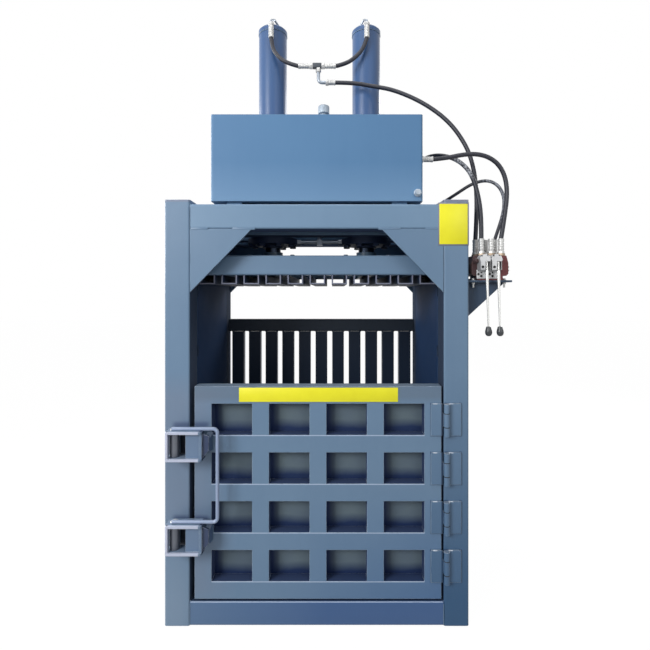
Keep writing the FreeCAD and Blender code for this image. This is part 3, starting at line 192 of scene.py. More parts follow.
addCamera(camera)
print("camera placed")


# materials

def tone(red, green, blue):
    # 0 to 255, as on a screen, to the shader's own values
    values = []
    for part in (red, green, blue):
        part /= 255
        values.append(part / 12.92 if part <= 0.04045 else ((part + 0.055) / 1.055) ** 2.4)
    return (*values, 1)


def feed(tree, node, inputs):
    # another node's output is wired in, and a plain value is set on the socket
    for label, value in inputs.items():
        socket = node.inputs[label]
        if isinstance(value, bpy.types.NodeSocket):
            tree.links.new(value, socket)
        elif socket.type == "RGBA" and len(value) == 3:
            socket.default_value = tone(*value)
        else:
            socket.default_value = value


def addNode(tree, kind, inputs=None):
    node = tree.nodes.new("ShaderNode" + kind)
    feed(tree, node, inputs or {})
    return node.outputs


def mathNode(tree, operation, *values):
    step = tree.nodes.new("ShaderNodeMath")
    step.operation = operation
    step.use_clamp = operation in ("MULTIPLY", "ADD")
    feed(tree, step, dict(enumerate(values)))
    return step.outputs[0]


def vectorNode(tree, operation, *values):
    step = tree.nodes.new("ShaderNodeVectorMath")
    step.operation = operation
    feed(tree, step, dict(enumerate(values)))
    return step.outputs


def noiseNode(tree, vector, scale, detail):
    return addNode(tree, "TexNoise", {"Vector": vector, "Scale": scale, "Detail": detail, "Roughness": 0.55})["Fac"]


def rampNode(tree, value, low, high):
    return addNode(tree, "MapRange", {"Value": value, "From Min": low, "From Max": high})["Result"]


def newGroup(name, inputs, outputs):
    group = bpy.data.node_groups.new(name, "ShaderNodeTree")
    for label, value in {"Vector": (0, 0, 0), **inputs}.items():
        kind = "NodeSocketVector" if isinstance(value, tuple) else "NodeSocketFloat"
        group.interface.new_socket(name=label, in_out="INPUT", socket_type=kind).default_value = value
    for label, kind in outputs.items():
        group.interface.new_socket(name=label, in_out="OUTPUT", socket_type="NodeSocket" + kind)
    return group, group.nodes.new("NodeGroupInput").outputs, group.nodes.new("NodeGroupOutput")


def makeMottle():
    group, give, take = newGroup("mottle", {"Broad Scale": 3.0, "Fine Scale": 260.0},
                                 {"Broad": "Float", "Streak": "Float", "Fine": "Float"})
    broad = noiseNode(group, give["Vector"], give["Broad Scale"], 5)
    drawn = addNode(group, "Mapping", {"Vector": give["Vector"], "Scale": (1, 1, 0.12)})["Vector"]
    feed(group, take, {"Broad": rampNode(group, broad, 0.3, 0.72),
                       "Streak": rampNode(group, noiseNode(group, drawn, 22, 4), 0.42, 0.75),
                       "Fine": noiseNode(group, give["Vector"], give["Fine Scale"], 3)})
    return group


# edge colour that is partly wear and partly painted highlight, and the rounded normal at the edges
def makeEdgeWearAndHighlight():
    group, give, take = newGroup("edgeWearAndHighlight", {"Break Up": 30.0}, {"Edge": "Float", "Rounded": "Vector"})
    bevel = group.nodes.new("ShaderNodeBevel")
    bevel.samples = 4
    bevel.inputs["Radius"].default_value = 0.003
    rounded = bevel.outputs["Normal"]
    flat = addNode(group, "NewGeometry")["Normal"]
    alike = vectorNode(group, "DOT_PRODUCT", rounded, flat)["Value"]
    bend = rampNode(group, mathNode(group, "SUBTRACT", 1.0, alike), 0.01, 0.16)
    broken = rampNode(group, noiseNode(group, give["Vector"], give["Break Up"], 5), 0.3, 0.56)
    feed(group, take, {"Edge": mathNode(group, "MULTIPLY", bend, broken), "Rounded": rounded})
    return group


def makeDust():
    group, give, take = newGroup("settledDust", {"Patch Scale": 9.0}, {"Dust": "Float"})
    facing = addNode(group, "SeparateXYZ", {0: addNode(group, "NewGeometry")["Normal"]})
    upward = rampNode(group, facing["Z"], 0.35, 0.95)
    patch = rampNode(group, noiseNode(group, give["Vector"], give["Patch Scale"], 6), 0.3, 0.65)
    feed(group, take, {"Dust": mathNode(group, "MULTIPLY", upward, patch)})
    return group


def stepsFrom(group, end, start, size):
    gap = vectorNode(group, "SUBTRACT", end, start)["Vector"]
    return vectorNode(group, "DIVIDE", gap, size)["Vector"]


def makeRegion():
    # a box with soft sides: 1 inside, 0 outside
    group, give, take = newGroup("region", {"Low": (-1, -1, -1), "High": (1, 1, 1), "Soft": (0.01, 0.01, 0.01)},
                                 {"Mask": "Float"})
    inside = 1.0
    for end, start in (("Vector", "Low"), ("High", "Vector")):
        steps = stepsFrom(group, give[end], give[start], give["Soft"])
        for axis in addNode(group, "SeparateXYZ", {0: steps}):
            inside = mathNode(group, "MULTIPLY", mathNode(group, "ADD", axis, 0.5), inside)
    feed(group, take, {"Mask": inside})
    return group


def makeCells():
    # place inside each repeated window: 0 to 1 from its left and from its foot
    group, give, take = newGroup("cells", {"Start": (0, 0, 0), "Pitch": (1, 1, 1)}, {"Across": "Float", "Up": "Float"})
    steps = stepsFrom(group, give["Vector"], give["Start"], give["Pitch"])
    spot = addNode(group, "SeparateXYZ", {0: vectorNode(group, "FRACTION", steps)["Vector"]})
    feed(group, take, {"Across": spot["X"], "Up": spot["Z"]})
    return group


groups = {"mottle": makeMottle(), "edge": makeEdgeWearAndHighlight(), "dust": makeDust(), "region": makeRegion(),
          "cells": makeCells()}


def placeGroup(tree, kind, place, inputs):
    box = tree.nodes.new("ShaderNodeGroup")
    box.node_tree = groups[kind]
    feed(tree, box, {"Vector": place, **inputs})
    return box.outputs


def maskOf(tree, place, spec):
    return placeGroup(tree, "region", place, {"Low": spec["low"], "High": spec["high"], "Soft": spec["soft"]})["Mask"]


def tinted(tree, base, colour, mask, amount=1):
    if amount < 1:
        mask = mathNode(tree, "MULTIPLY", mask, amount)
    mix = tree.nodes.new("ShaderNodeMix")
    mix.data_type = "RGBA"
    feed(tree, mix, {0: mask, 6: base, 7: colour})
    return mix.outputs[2]


def bumped(tree, height, strength, distance, rounded=None):
    under = {} if rounded is None else {"Normal": rounded}
    return addNode(tree, "Bump", {"Height": height, "Strength": strength, "Distance": distance, **under})["Normal"]


def newMaterial(name, broad, fine):
    material = bpy.data.materials.new(name)
    material.use_nodes = True
    tree = material.node_tree
    place = addNode(tree, "TexCoord")["Object"]
    field = placeGroup(tree, "mottle", place, {"Broad Scale": broad, "Fine Scale": fine})
    return material, tree, tree.nodes["Principled BSDF"], place, field


# the edge colour, the fourth argument, is partly wear and partly painted highlight
def painted(name, colour, shade, edgeWornAndLitColour, rough=0.38, coat=0.12, gloss=0.4, broad=2.2, edge=0.65, dust=0.25, peel=0.12,
            areas=()):
    material, tree, shader, place, field = newMaterial(name, broad, 240)
    edgeWearAndLight = placeGroup(tree, "edge", place, {"Break Up": 26})
    fallen = placeGroup(tree, "dust", place, {"Patch Scale": 7})["Dust"]
    base = tinted(tree, colour, shade, field["Broad"], 0.55)
    base = tinted(tree, base, shade, field["Streak"], 0.16)
    base = tinted(tree, base, (176, 180, 182), fallen, dust)
    worn = mathNode(tree, "MULTIPLY_ADD", field["Broad"], 0.12, rough)
    worn = mathNode(tree, "MULTIPLY_ADD", fallen, 0.2, worn)
    coated = coat
    for spec in areas:
        mask = maskOf(tree, place, spec)
        base = tinted(tree, base, spec["colour"], mask, spec["amount"])
        if spec["dull"]:
            worn = mathNode(tree, "ADD", worn, mathNode(tree, "MULTIPLY", mask, 0.5))
            coated = mathNode(tree, "MULTIPLY_ADD", mask, -coat, coat)
    feed(tree, shader, {
        "Base Color": tinted(tree, base, edgeWornAndLitColour, edgeWearAndLight["Edge"], edge), "Roughness": worn, "Specular IOR Level": gloss,
        "Coat Weight": coated, "Coat Roughness": 0.22,
        "Normal": bumped(tree, field["Fine"], peel, 0.0006, edgeWearAndLight["Rounded"])})
    return material


def bareMetal(name, colour, shade, rough=0.38, fine=420, peel=0.08, metallic=1.0):
    material, tree, shader, place, field = newMaterial(name, 14, fine)
    edgeWearAndLight = placeGroup(tree, "edge", place, {"Break Up": 60})
    feed(tree, shader, {
        "Base Color": tinted(tree, colour, shade, field["Broad"], 0.6), "Metallic": metallic,
        "Roughness": mathNode(tree, "MULTIPLY_ADD", field["Streak"], 0.16, rough),
        "Normal": bumped(tree, field["Fine"], peel, 0.0004, edgeWearAndLight["Rounded"])})
    return material


def matteSkin(name, colour, shade, rough=0.46, fine=900, peel=0.2, sheen=None):
    material, tree, shader, place, field = newMaterial(name, 9, fine)
    fallen = placeGroup(tree, "dust", place, {"Patch Scale": 20})["Dust"]
    base = tinted(tree, colour, shade, field["Broad"])
    base = tinted(tree, base, (120, 122, 126), fallen, 0.18)
    # painted sheen in patches, where one is given
    if sheen:
        patchy = rampNode(tree, noiseNode(tree, place, 120, 5), 0.4, 0.6)
        patchy = mathNode(tree, "MULTIPLY", patchy, maskOf(tree, place, sheen))
        base = tinted(tree, base, sheen["colour"], patchy, sheen["amount"])
    feed(tree, shader, {
        "Base Color": base, "Roughness": mathNode(tree, "MULTIPLY_ADD", field["Fine"], 0.16, rough - 0.08),
        "Normal": bumped(tree, field["Fine"], peel, 0.0004)})
    return material


# soft-sided areas of another colour, in metres on the object

def area(low, high, soft, colour, amount, dull=False):
    return {"low": low, "high": high, "soft": soft, "colour": colour, "amount": amount, "dull": dull}


# painted shade: the dark inside of the chamber, of its walls, bars and rail, under the top beam and in the door's
# windows
chamberShade = area((-0.5025, -0.3462, -0.2), (0.5025, 0.346, 1.56), (0.004, 0.004, 0.03), (20, 36, 62), 0.92, True)
wallInsideShade = area((-0.5025, -1, -1), (0.5025, 1, 2), (0.004, 0.1, 0.1), (27, 51, 87), 0.96)
barsInsideShade = area((-1, -1, -1), (1, 0.334, 2), (0.1, 0.006, 0.1), (22, 32, 50), 0.95)
railInsideShade = area((-1, -1, -1), (1, 0.344, 2), (0.1, 0.006, 0.1), (46, 53, 64), 0.94)
underBeamShade = area((-0.5025, -0.345, 1.4), (0.5025, 0.345, 1.567), (0.004, 0.004, 0.002), (16, 34, 74), 0.85, True)
windowSidesShade = area((-0.46, -0.3472, 0.12), (0.47, 0.3, 0.93), (0.002, 0.0022, 0.002), (22, 42, 82), 0.92, True)
# paint that differs from place to place, and painted light and shade: darker and bluer low on the right and at the
# door's foot, lighter low on the left, the tank lighter low down
lowRightShade = area((-0.2, -1, -2), (2, 1, 0.55), (1.0, 0.01, 0.9), (50, 84, 134), 0.85)
lowDoorShade = area((0.2, -1, -2), (2, 1, 0.3), (0.9, 0.01, 0.5), (48, 90, 140), 0.85)
lowLeftLight = area((-2, -1, -2), (-0.49, 1, 0.35), (0.1, 0.01, 0.5), (128, 148, 170), 0.6)
greyLeft = area((-2, -1, 0.1), (-0.42, 1, 0.95), (0.22, 0.1, 0.1), (120, 128, 146), 0.55)
greyTop = area((-2, -1, 0.888), (2, 1, 2), (0.1, 0.1, 0.03), (94, 108, 124), 0.55)
postCap = area((-1, -1, 1.6715), (1, 1, 2), (0.1, 0.1, 0.003), (122, 122, 140), 0.85)
tankFootLight = area((-1, -1, 1), (1, 1, 1.74), (0.1, 0.1, 0.18), (112, 148, 184), 0.75)
valveLeft = area((0.5, -0.5, 1), (0.645, 0, 2), (0.002, 0.1, 0.1), (50, 32, 34), 0.9)
barEnds = area((-1, -1, 1), (1, -0.2825, 2), (0.1, 0.001, 0.1), (182, 184, 202), 0.35)
# painted highlight along the clasp's front left edge; the next area is painted shade on its right side
claspEdgeHighlight = area((-1, -1, -1), (-0.4455, -0.4165, 2), (0.003, 0.002, 0.1), (198, 204, 224), 0.85)
claspShade = area((-0.4425, -0.4175, -1), (1, 1, 2), (0.003, 0.002, 0.1), (30, 44, 78), 0.9)
# painted highlights: light lines along upper edges, at each window's foot and on the sill
windowLipHighlights = [area((-0.4146, -1, foot - 0.0035), (0.4246, -0.3487, foot + 0.0004), (0.002, 0.0005, 0.001),
                   (190, 206, 230), 0.65) for foot in windowFeet]
sillLipHighlight = area((-0.497, -1, 0.0925), (0.497, -0.348, 0.2), (0.002, 0.001, 0.0015), (200, 216, 240), 0.9)
# painted shade behind the latch pins, and painted shadow above the handle's arms
latchShade = [area((-0.583, -1, low), (-0.505, 1, low + 0.103), (0.008, 0.1, 0.008), (12, 18, 34), 0.93)
               for low in (0.66, 0.303)]
armShade = [area((-0.565, -1, low), (-0.425, -0.3487, low + 0.022), (0.02, 0.0005, 0.014), (46, 60, 100), 0.6)
            for low in (0.781, 0.413)]
# painted shade lines round the hinge leaves, the painted shadow beside their knuckles, and painted highlights on their
# upper corners
leafRimShade = [area((0.447, -1, foot - 0.0047), (0.571, -0.3487, foot + 0.1278), (0.0015, 0.0005, 0.0015),
                 (44, 62, 94), 0.75) for foot in windowFeet]
leafShadow = area((0.4895, -1, 0), (0.4975, 1, 2), (0.0015, 0.1, 0.1), (10, 24, 48), 0.95)
leafCornerHighlights = [area((x, -1, foot + 0.1234), (x + 0.017, 1, foot + 0.1278), (0.004, 0.1, 0.0008), (240, 244, 250), 0.9)
             for foot in windowFeet for x in (0.457, 0.519)]

# painted shade on the sheet behind the windows, at each window's foot and left side, as shares of a window's height and
# width, on its front only
windowSheetShade = {
    "colour": (20, 40, 82),
    "amount": 0.93,
    "foot": (0.3, 0.11),
    "left": (0.17, 0.04),
    "side": {"low": (-1, -1, -1), "high": (1, -0.2965, 2), "soft": (0.1, 0.001, 0.1)},
}


# the sheet behind the windows, with painted shade at the foot and left side of each
def sheeting(name, colour, shade, paintedShade):
    material, tree, shader, place, field = newMaterial(name, 5, 240)
    spot = placeGroup(tree, "cells", place, {"Start": (windows["left"], 0, windows["foot"]),
                                             "Pitch": (windows["across"], 1, windows["pitch"])})
    wave = mathNode(tree, "MULTIPLY_ADD", field["Broad"], 0.1, spot["Up"])
    shown = mathNode(tree, "MULTIPLY", maskOf(tree, place, paintedShade["side"]), paintedShade["amount"])
    base = tinted(tree, colour, shade, field["Broad"])
    for mask in (rampNode(tree, wave, *paintedShade["foot"]), rampNode(tree, spot["Across"], *paintedShade["left"])):
        base = tinted(tree, base, paintedShade["colour"], mathNode(tree, "MULTIPLY", mask, shown))
    feed(tree, shader, {
        "Base Color": base, "Roughness": mathNode(tree, "MULTIPLY_ADD", field["Fine"], 0.14, 0.5),
        "Specular IOR Level": 0.25, "Normal": bumped(tree, field["Fine"], 0.12, 0.0005)})
    return material


# frame blue, its shade, and an edge colour that is partly wear and partly painted highlight
blue, blueShade, blueWornAndLit = (105, 132, 159), (90, 118, 147), (150, 170, 192)
rubber, rubberShade = (27, 29, 42), (14, 18, 32)
finishes = {
    "frame_paint": painted("blueGreyPaint", blue, blueShade, (166, 188, 212)),
    "tank_paint": painted("tankPaint", (84, 126, 166), (72, 113, 154), (104, 124, 144), rough=0.5, coat=0.05,
                          broad=1.4, dust=0.2, areas=[tankFootLight]),
    "sheet_paint": painted("greySheetPaint", (64, 79, 101), (50, 66, 92), (108, 119, 134), rough=0.55, coat=0,
                           gloss=0.25, broad=4, dust=0.15),
    "motor_paint": painted("motorPaint", (70, 96, 126), (54, 78, 106), (120, 136, 154), rough=0.45),
    "valve_iron": painted("valvePaint", (116, 50, 52), (64, 38, 42), (150, 118, 112), rough=0.5, broad=16, peel=0.5,
                          areas=[valveLeft]),
    "pump_iron": painted("pumpPaint", (74, 80, 88), (52, 58, 66), (128, 130, 132), rough=0.55, broad=10, peel=0.45),
    "rod_chrome": bareMetal("hardChrome", (58, 66, 80), (42, 50, 64), rough=0.3, fine=700, peel=0.02),
    "bright_steel": bareMetal("zincPlate", (208, 208, 206), (156, 157, 158), metallic=0.5),
    "dark_steel": bareMetal("oiledSteel", (92, 104, 122), (60, 70, 86), peel=0.15),
    "hose_rubber": matteSkin("hoseRubber", rubber, rubberShade),
}

# painted sheen in patches on two of the hoses, where they bend
hoseSheens = {
    "hose_pump": area((0.575, -0.4, 1.79), (0.648, -0.1, 1.885), (0.02, 0.1, 0.03), (168, 172, 180), 0.85),
    "hose_rod_side": area((0.69, -0.4, 1.62), (0.85, -0.1, 1.85), (0.04, 0.1, 0.06), (140, 145, 156), 0.85),
}
sheenedHoses = {node: matteSkin("hoseSheen", rubber, rubberShade, sheen=spec) for node, spec in hoseSheens.items()}

labelYellow = matteSkin("yellowSheet", (246, 240, 40), (236, 228, 34), rough=0.42, fine=300, peel=0.04)
knobPlastic = matteSkin("knobPlastic", (58, 62, 66), (40, 44, 48), rough=0.34, fine=500, peel=0.05)
shadowHole = matteSkin("socketShadow", (18, 18, 20), (10, 10, 12), rough=0.8)

leverWhite = bareMetal("leverPlate", (236, 236, 234), (214, 214, 210), rough=0.24, metallic=0.75)
castSilver = bareMetal("castSilver", (204, 205, 206), (150, 152, 156), rough=0.42, fine=300, peel=0.25, metallic=0.5)
seatBrass = bareMetal("seatBrass", (168, 150, 128), (104, 88, 76), rough=0.42, fine=300, peel=0.2, metallic=0.6)
tubeSilver = bareMetal("tubeSilver", (166, 174, 184), (124, 134, 148), rough=0.32, metallic=0.6)
capSilver = bareMetal("capSilver", (172, 184, 196), (126, 140, 154), rough=0.36, metallic=0.4)
pinSteel = bareMetal("pinSteel", (112, 116, 124), (80, 84, 94), rough=0.42, metallic=0.7)

weldPaint = painted("paintedWeld", (106, 131, 156), (90, 114, 140), (140, 160, 180), rough=0.42, edge=0.15, dust=0.1,
                    peel=0.3, areas=[chamberShade])
# a darker copy of the paint for the valve bracket: painted shade
bracketShadedPaint = painted("bracketShadedPaint", (52, 70, 92), (38, 54, 72), (120, 140, 160), gloss=0.25)
backPlate = painted("backPlate", (124, 124, 140), (108, 110, 128), (150, 150, 160), edge=0.4)
coverBrown = painted("coverPaint", (58, 34, 36), (30, 22, 26), (110, 96, 92), rough=0.5, broad=18, peel=0.4)
wallPaint = painted("wallPaint", blue, blueShade, blueWornAndLit, rough=0.62, gloss=0.07, coat=0, broad=3, edge=0.1,
                    areas=[wallInsideShade])
rearPaint = painted("rearPaint", blue, blueShade, blueWornAndLit, gloss=0.2, coat=0, broad=3, edge=0.15, areas=[barsInsideShade])
railPaint = painted("railPaint", blue, blueShade, blueWornAndLit, gloss=0.2, coat=0, broad=3, edge=0.15, areas=[railInsideShade])
cylinderPaint = painted("cylinderPaint", (58, 92, 138), (46, 78, 124), (132, 156, 186), rough=0.34, coat=0.3,
                        broad=3, dust=0.2, peel=0.05)
claspPaint = painted("claspPaint", (106, 128, 156), (92, 115, 143), (196, 208, 222), rough=0.3, edge=0.85,
                     areas=[claspShade, claspEdgeHighlight])
# a light paint for the clasps' left rims: painted highlight
claspRimHighlight = painted("claspRimHighlight", (196, 202, 222), (176, 184, 208), (226, 230, 240), rough=0.3)
handlePaint = painted("handlePaint", (148, 164, 194), (124, 144, 176), (196, 208, 222), rough=0.26, coat=0.4)
hingePaint = painted("hingePaint", blue, (88, 115, 144), (206, 220, 236), edge=0.45, dust=1,
                     areas=[leafShadow, dict(lowRightShade, colour=(40, 80, 118), amount=0.75), *leafCornerHighlights])
barPaint = painted("platenBarPaint", (40, 58, 86), (26, 42, 70), (170, 174, 194), rough=0.5, coat=0, gloss=0.2,
                   edge=0.7, areas=[barEnds])
glandPaint = painted("glandPaint", (38, 56, 88), (26, 42, 72), (96, 112, 134), rough=0.5, coat=0)
doorSheet = sheeting("doorSheetPaint", (98, 113, 120), (88, 103, 118), windowSheetShade)


def framePaint(name, areas, colour=blue, shade=blueShade, edge=0.85):
    return painted(name, colour, shade, (192, 208, 228), edge=edge, areas=areas)


leftPost = framePaint("leftPostPaint", [lowLeftLight, dict(greyLeft, low=(-2, -1, 0.4), amount=0.4), *armShade,
                                        *latchShade, chamberShade, dict(postCap, amount=0.5)])
rightPost = framePaint("rightPostPaint", [dict(lowRightShade, colour=(30, 74, 112), amount=0.9), chamberShade, *leafRimShade,
                                          postCap])
sillPaint = framePaint("sillPaint", [dict(lowRightShade, low=(-0.45, -1, -2), high=(2, 1, 0.8)), chamberShade, sillLipHighlight])
doorPaint = framePaint("doorPaint", [lowDoorShade, greyLeft, greyTop, windowSidesShade, *armShade, *leafRimShade, *windowLipHighlights])
# a darker copy of the frame paint for the latch keepers: painted shade
keeperShadedPaint = framePaint("keeperShadedPaint", [], (78, 100, 132), (62, 84, 116))
# a lighter copy of the frame paint for the beams: painted light, with painted shade under them
beamLitPaint = framePaint("beamLitPaint", [underBeamShade], (115, 144, 172), (101, 130, 158))
innerFrame = framePaint("innerFramePaint", [chamberShade])
seamPaint = framePaint("seamPaint", [], edge=0)

# CAD nodes with a finish of their own; the others take their slot's
ownFinish = {node: finish for finish, group in (
    (leftPost, "post_front_left"), (rightPost, "post_front_right"), (sillPaint, "sill_front"),
    (innerFrame, "post_rear_left post_rear_right sills_side sill_rear floor_beam"),
    (beamLitPaint, "top_beam_front top_beam_rear top_beams_side cylinder_beams"),
    (cylinderPaint, "cylinder_left cylinder_right"), (glandPaint, "gland_left gland_right"),
    (wallPaint, "side_wall_left side_wall_right floor_bars"), (rearPaint, "rear_bars"), (railPaint, "rear_rail"),
    (barPaint, "platen_bars"), (tubeSilver, "rod_side_link"), (bracketShadedPaint, "valve_bracket"),
    (doorPaint, "door_grid"), (doorSheet, "door_sheet"), (hingePaint, "hinge_door_leaves hinge_post_leaves"),
    (pinSteel, "latch_bosses"), (claspPaint, "latch_clasps"), (handlePaint, "latch_handle"),
    (keeperShadedPaint, "latch_keepers")) for node in group.split()}
for part in frame["record"]["subparts"]:
    shown = nodes[part["node"]]
    shown.data.materials.clear()
    shown.data.materials.append(ownFinish.get(part["node"], finishes[part["material_slot"]]))
print("materials made for", len(nodes), "nodes")


# hoses: the same points as the solid tubes

hoses = {
    "hoseTopLeft": {"node": "hose_top_left", "diameter": 0.018, "length": 0.198, "points": [
        (-0.217, -0.085, 2.47), (-0.212, -0.086, 2.426), (-0.189, -0.088, 2.386), (-0.146, -0.09, 2.352),
        (-0.093, -0.092, 2.338)]},
    "hoseTopRight": {"node": "hose_top_right", "diameter": 0.018, "length": 0.205, "points": [
        (0.077, -0.092, 2.338), (0.124, -0.09, 2.35), (0.168, -0.088, 2.382), (0.204, -0.086, 2.424),
        (0.217, -0.085, 2.47)]},
    "hoseCapSide": {"node": "hose_cap_side", "diameter": 0.018, "length": 1.102, "points": [
        (0.074, -0.092, 2.263), (0.15, -0.102, 2.258), (0.241, -0.112, 2.238), (0.335, -0.128, 2.214),
        (0.458, -0.155, 2.147), (0.563, -0.185, 2.054), (0.629, -0.21, 1.944), (0.655, -0.23, 1.848),
        (0.664, -0.244, 1.738), (0.661, -0.254, 1.632), (0.655, -0.256, 1.532)]},
    "hosePump": {"node": "hose_pump", "diameter": 0.018, "length": 1.064, "points": [
        (0.142, 0.2, 1.793), (0.205, 0.199, 1.8), (0.29, 0.18, 1.835), (0.37, 0.125, 1.88), (0.43, 0.04, 1.91),
        (0.466, -0.06, 1.922), (0.506, -0.15, 1.918), (0.558, -0.205, 1.895), (0.606, -0.235, 1.858),
        (0.64, -0.262, 1.8), (0.658, -0.286, 1.71), (0.666, -0.298, 1.62), (0.665, -0.3, 1.532)]},
    "hoseReturn": {"node": "hose_return", "diameter": 0.018, "length": 0.587, "points": [
        (0.472, -0.285, 1.858), (0.528, -0.29, 1.862), (0.585, -0.296, 1.873), (0.64, -0.298, 1.877),
        (0.692, -0.298, 1.866), (0.736, -0.297, 1.836), (0.764, -0.296, 1.785), (0.772, -0.297, 1.716),
        (0.76, -0.299, 1.622), (0.745, -0.3, 1.532)]},
    "hoseRodSide": {"node": "hose_rod_side", "diameter": 0.014, "length": 1.241, "points": [
        (0, 0, 1.601), (0.004, 0.01, 1.655), (0.032, 0.038, 1.706), (0.09, 0.074, 1.726), (0.17, 0.098, 1.722),
        (0.28, 0.104, 1.702), (0.39, 0.064, 1.688), (0.48, -0.01, 1.692), (0.552, -0.08, 1.716),
        (0.612, -0.13, 1.752), (0.668, -0.168, 1.788), (0.722, -0.2, 1.796), (0.762, -0.226, 1.768),
        (0.78, -0.244, 1.714), (0.774, -0.253, 1.652), (0.755, -0.256, 1.59), (0.735, -0.256, 1.532)]},
}


def curveTube(name, points, radius, steps, sides):
    data = bpy.data.curves.new(name, "CURVE")
    data.dimensions = "3D"
    line = data.splines.new("NURBS")
    line.points.add(len(points) - 1)
    for point, place in zip(line.points, points):
        point.co = (*place, 1)
    line.order_u = 3
    line.use_endpoint_u = True
    line.resolution_u = steps
    data.bevel_depth = radius
    data.bevel_resolution = sides
    data.use_fill_caps = True
    return link(bpy.data.objects.new(name, data))


def addHose(name, spec):
    hose = curveTube(name, spec["points"], spec["diameter"] / 2, 10, 6)
    hose.data.materials.append(sheenedHoses.get(spec["node"], finishes["hose_rubber"]))
    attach(hose, "frame")
    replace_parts(hose, spec["node"])
    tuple(spec["points"][0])


for name, spec in hoses.items():
    addHose(name, spec)
print("hoses laid:", len(hoses))


# hose ends: a hexagon nut and a crimped sleeve

union = {
    "sleeve": 0.0116,
    "groove": 0.0106,
    "lip": 0.012,
    "nut": 0.027,
}


def addUnion(start, end, nutLength, spec=union):
    start, end = Vector(start), Vector(end)
    run = end - start
    nut = hexPiece(spec["nut"], nutLength, start, run, 0.0012)
    low, high = nutLength, run.length
    wide, slim, lip = spec["sleeve"], spec["groove"], spec["lip"]
    profile = [(slim, low - 0.001), (slim, low + 0.003), (wide, low + 0.005)]
    for share in (0.3, 0.5, 0.7):
        at = low + (high - low) * share
        profile += [(wide, at - 0.003), (slim, at - 0.0015), (slim, at + 0.0015), (wide, at + 0.003)]
    profile += [(wide, high - 0.006), (lip, high - 0.004), (lip, high - 0.0006), (slim, high)]
    return joined([nut, turnedPiece(profile, start, run, 28)])


valvePorts = [(0.665, -0.3), (0.705, -0.3), (0.745, -0.3), (0.655, -0.256), (0.695, -0.256), (0.735, -0.256)]
valveTop, hoseLow = 1.461, 1.532
unions = [addUnion((x, y, valveTop), (x, y, hoseLow), 0.02) for x, y in valvePorts]
seats = [hexPiece(0.032, 0.011, (x, y, valveTop)) for x, y in valvePorts]
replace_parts(dress("valveUnions", unions, "frame", "bright_steel"), "valve_fittings")
dress("portBosses", seats, "frame", "bright_steel", seatBrass)

tankUnion = addUnion((0.42, -0.285, 1.858), (0.472, -0.285, 1.858), 0.014)
pumpUnion = addUnion((0.09, 0.2, 1.793), (0.142, 0.2, 1.793), 0.014)
suctionPipe = turnedPiece([(0.023, 0), (0.023, 0.006), (0.017, 0.008), (0.017, 0.225), (0.022, 0.227),
                           (0.022, 0.243)], (0.035, -0.085, 1.793), (0, 1, 0))
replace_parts(dress("powerUnions", [tankUnion, pumpUnion, suctionPipe], "frame", "bright_steel"), "power_unit_fittings")


# steel tubes over the cylinder caps and the tee between them

capTubes = {
    "tube": 0.0075,
    "loop": 0.005,
    "tee": (-0.008, -0.092, 2.338),
    "teeSize": (0.038, 0.024, 0.02),
    "elbowLow": 2.263,
}


def bentPipe(points, radius, corner):
    rounded = [Vector(points[0])]
    for before, at, after in zip(points, points[1:], points[2:]):
        before, at, after = Vector(before), Vector(at), Vector(after)
        rounded += [at + (before - at).normalized() * corner, at, at + (after - at).normalized() * corner]
    rounded.append(Vector(points[-1]))
    pick(curveTube("pipe", rounded, radius, 8, 5))
    bpy.ops.object.convert(target="MESH")
    smooth(50)
    return bpy.context.active_object


def addCapTubes(spec):
    tubes, ends = [], []
    for sign in (-1, 1):
        root, x = 0.194 * sign, 0.217 * sign
        tubes.append(bentPipe([(root, -0.02, 2.548), (root, -0.02, 2.566), (0.2055 * sign, -0.054, 2.5695),
                               (x, -0.085, 2.5495), (x, -0.085, 2.53)], spec["loop"], 0.009))
        tubes.append(hexPiece(0.024, 0.006, (root, -0.02, 2.548)))  # boss on the cap
        ends.append(addUnion((x, -0.085, 2.538), (x, -0.085, 2.47), 0.012))
    x, y, z = spec["tee"]
    wide, deep, tall = (size / 2 for size in spec["teeSize"])
    tee = boxBetween((x - wide, y - deep, z - tall), (x + wide, y + deep, z + tall))
    ends.append(addUnion((x - wide, y, z), (-0.093, y, z), 0.016))
    ends.append(addUnion((x + wide, y, z), (0.077, y, z), 0.016))
    root, low = (x + 0.006, y, z - tall), spec["elbowLow"]
    tubes.append(bentPipe([root, (x + 0.006, y, low), (0.042, y, low)], spec["tube"], 0.038))
    ends.append(hexPiece(0.025, 0.019, root, (0, 0, -1)))
    ends.append(addUnion((0.03, y, low), (0.074, y, low), 0.014))
    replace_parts(dress("capTubes", tubes, "frame", "bright_steel", tubeSilver), "cap_fittings")
    dress("capUnions", ends, "frame", "bright_steel")
    dress("tee", [tee], "frame", "pump_iron")


addCapTubes(capTubes)
print("hose ends and cap tubes done")


# levers with their knobs, and the housings they turn in

lever = {
    "pivots": {"lever_left": (0.665, -0.364, 1.443), "lever_right": (0.71, -0.364, 1.443)},
    "lean": math.radians(1.5),
    "neck": 0.005,
    "rod": 0.0061,
    "tip": 0.0032,
    "length": 0.262,
    "knob": 0.0135,
    "knobTall": 0.038,
    "knobRounds": [(0.42, 0), (0.62, 0.03), (0.72, 0.14), (0.84, 0.3), (0.96, 0.46), (1.0, 0.6), (0.95, 0.74),
                   (0.82, 0.86), (0.6, 0.95), (0.28, 1.0)],
}


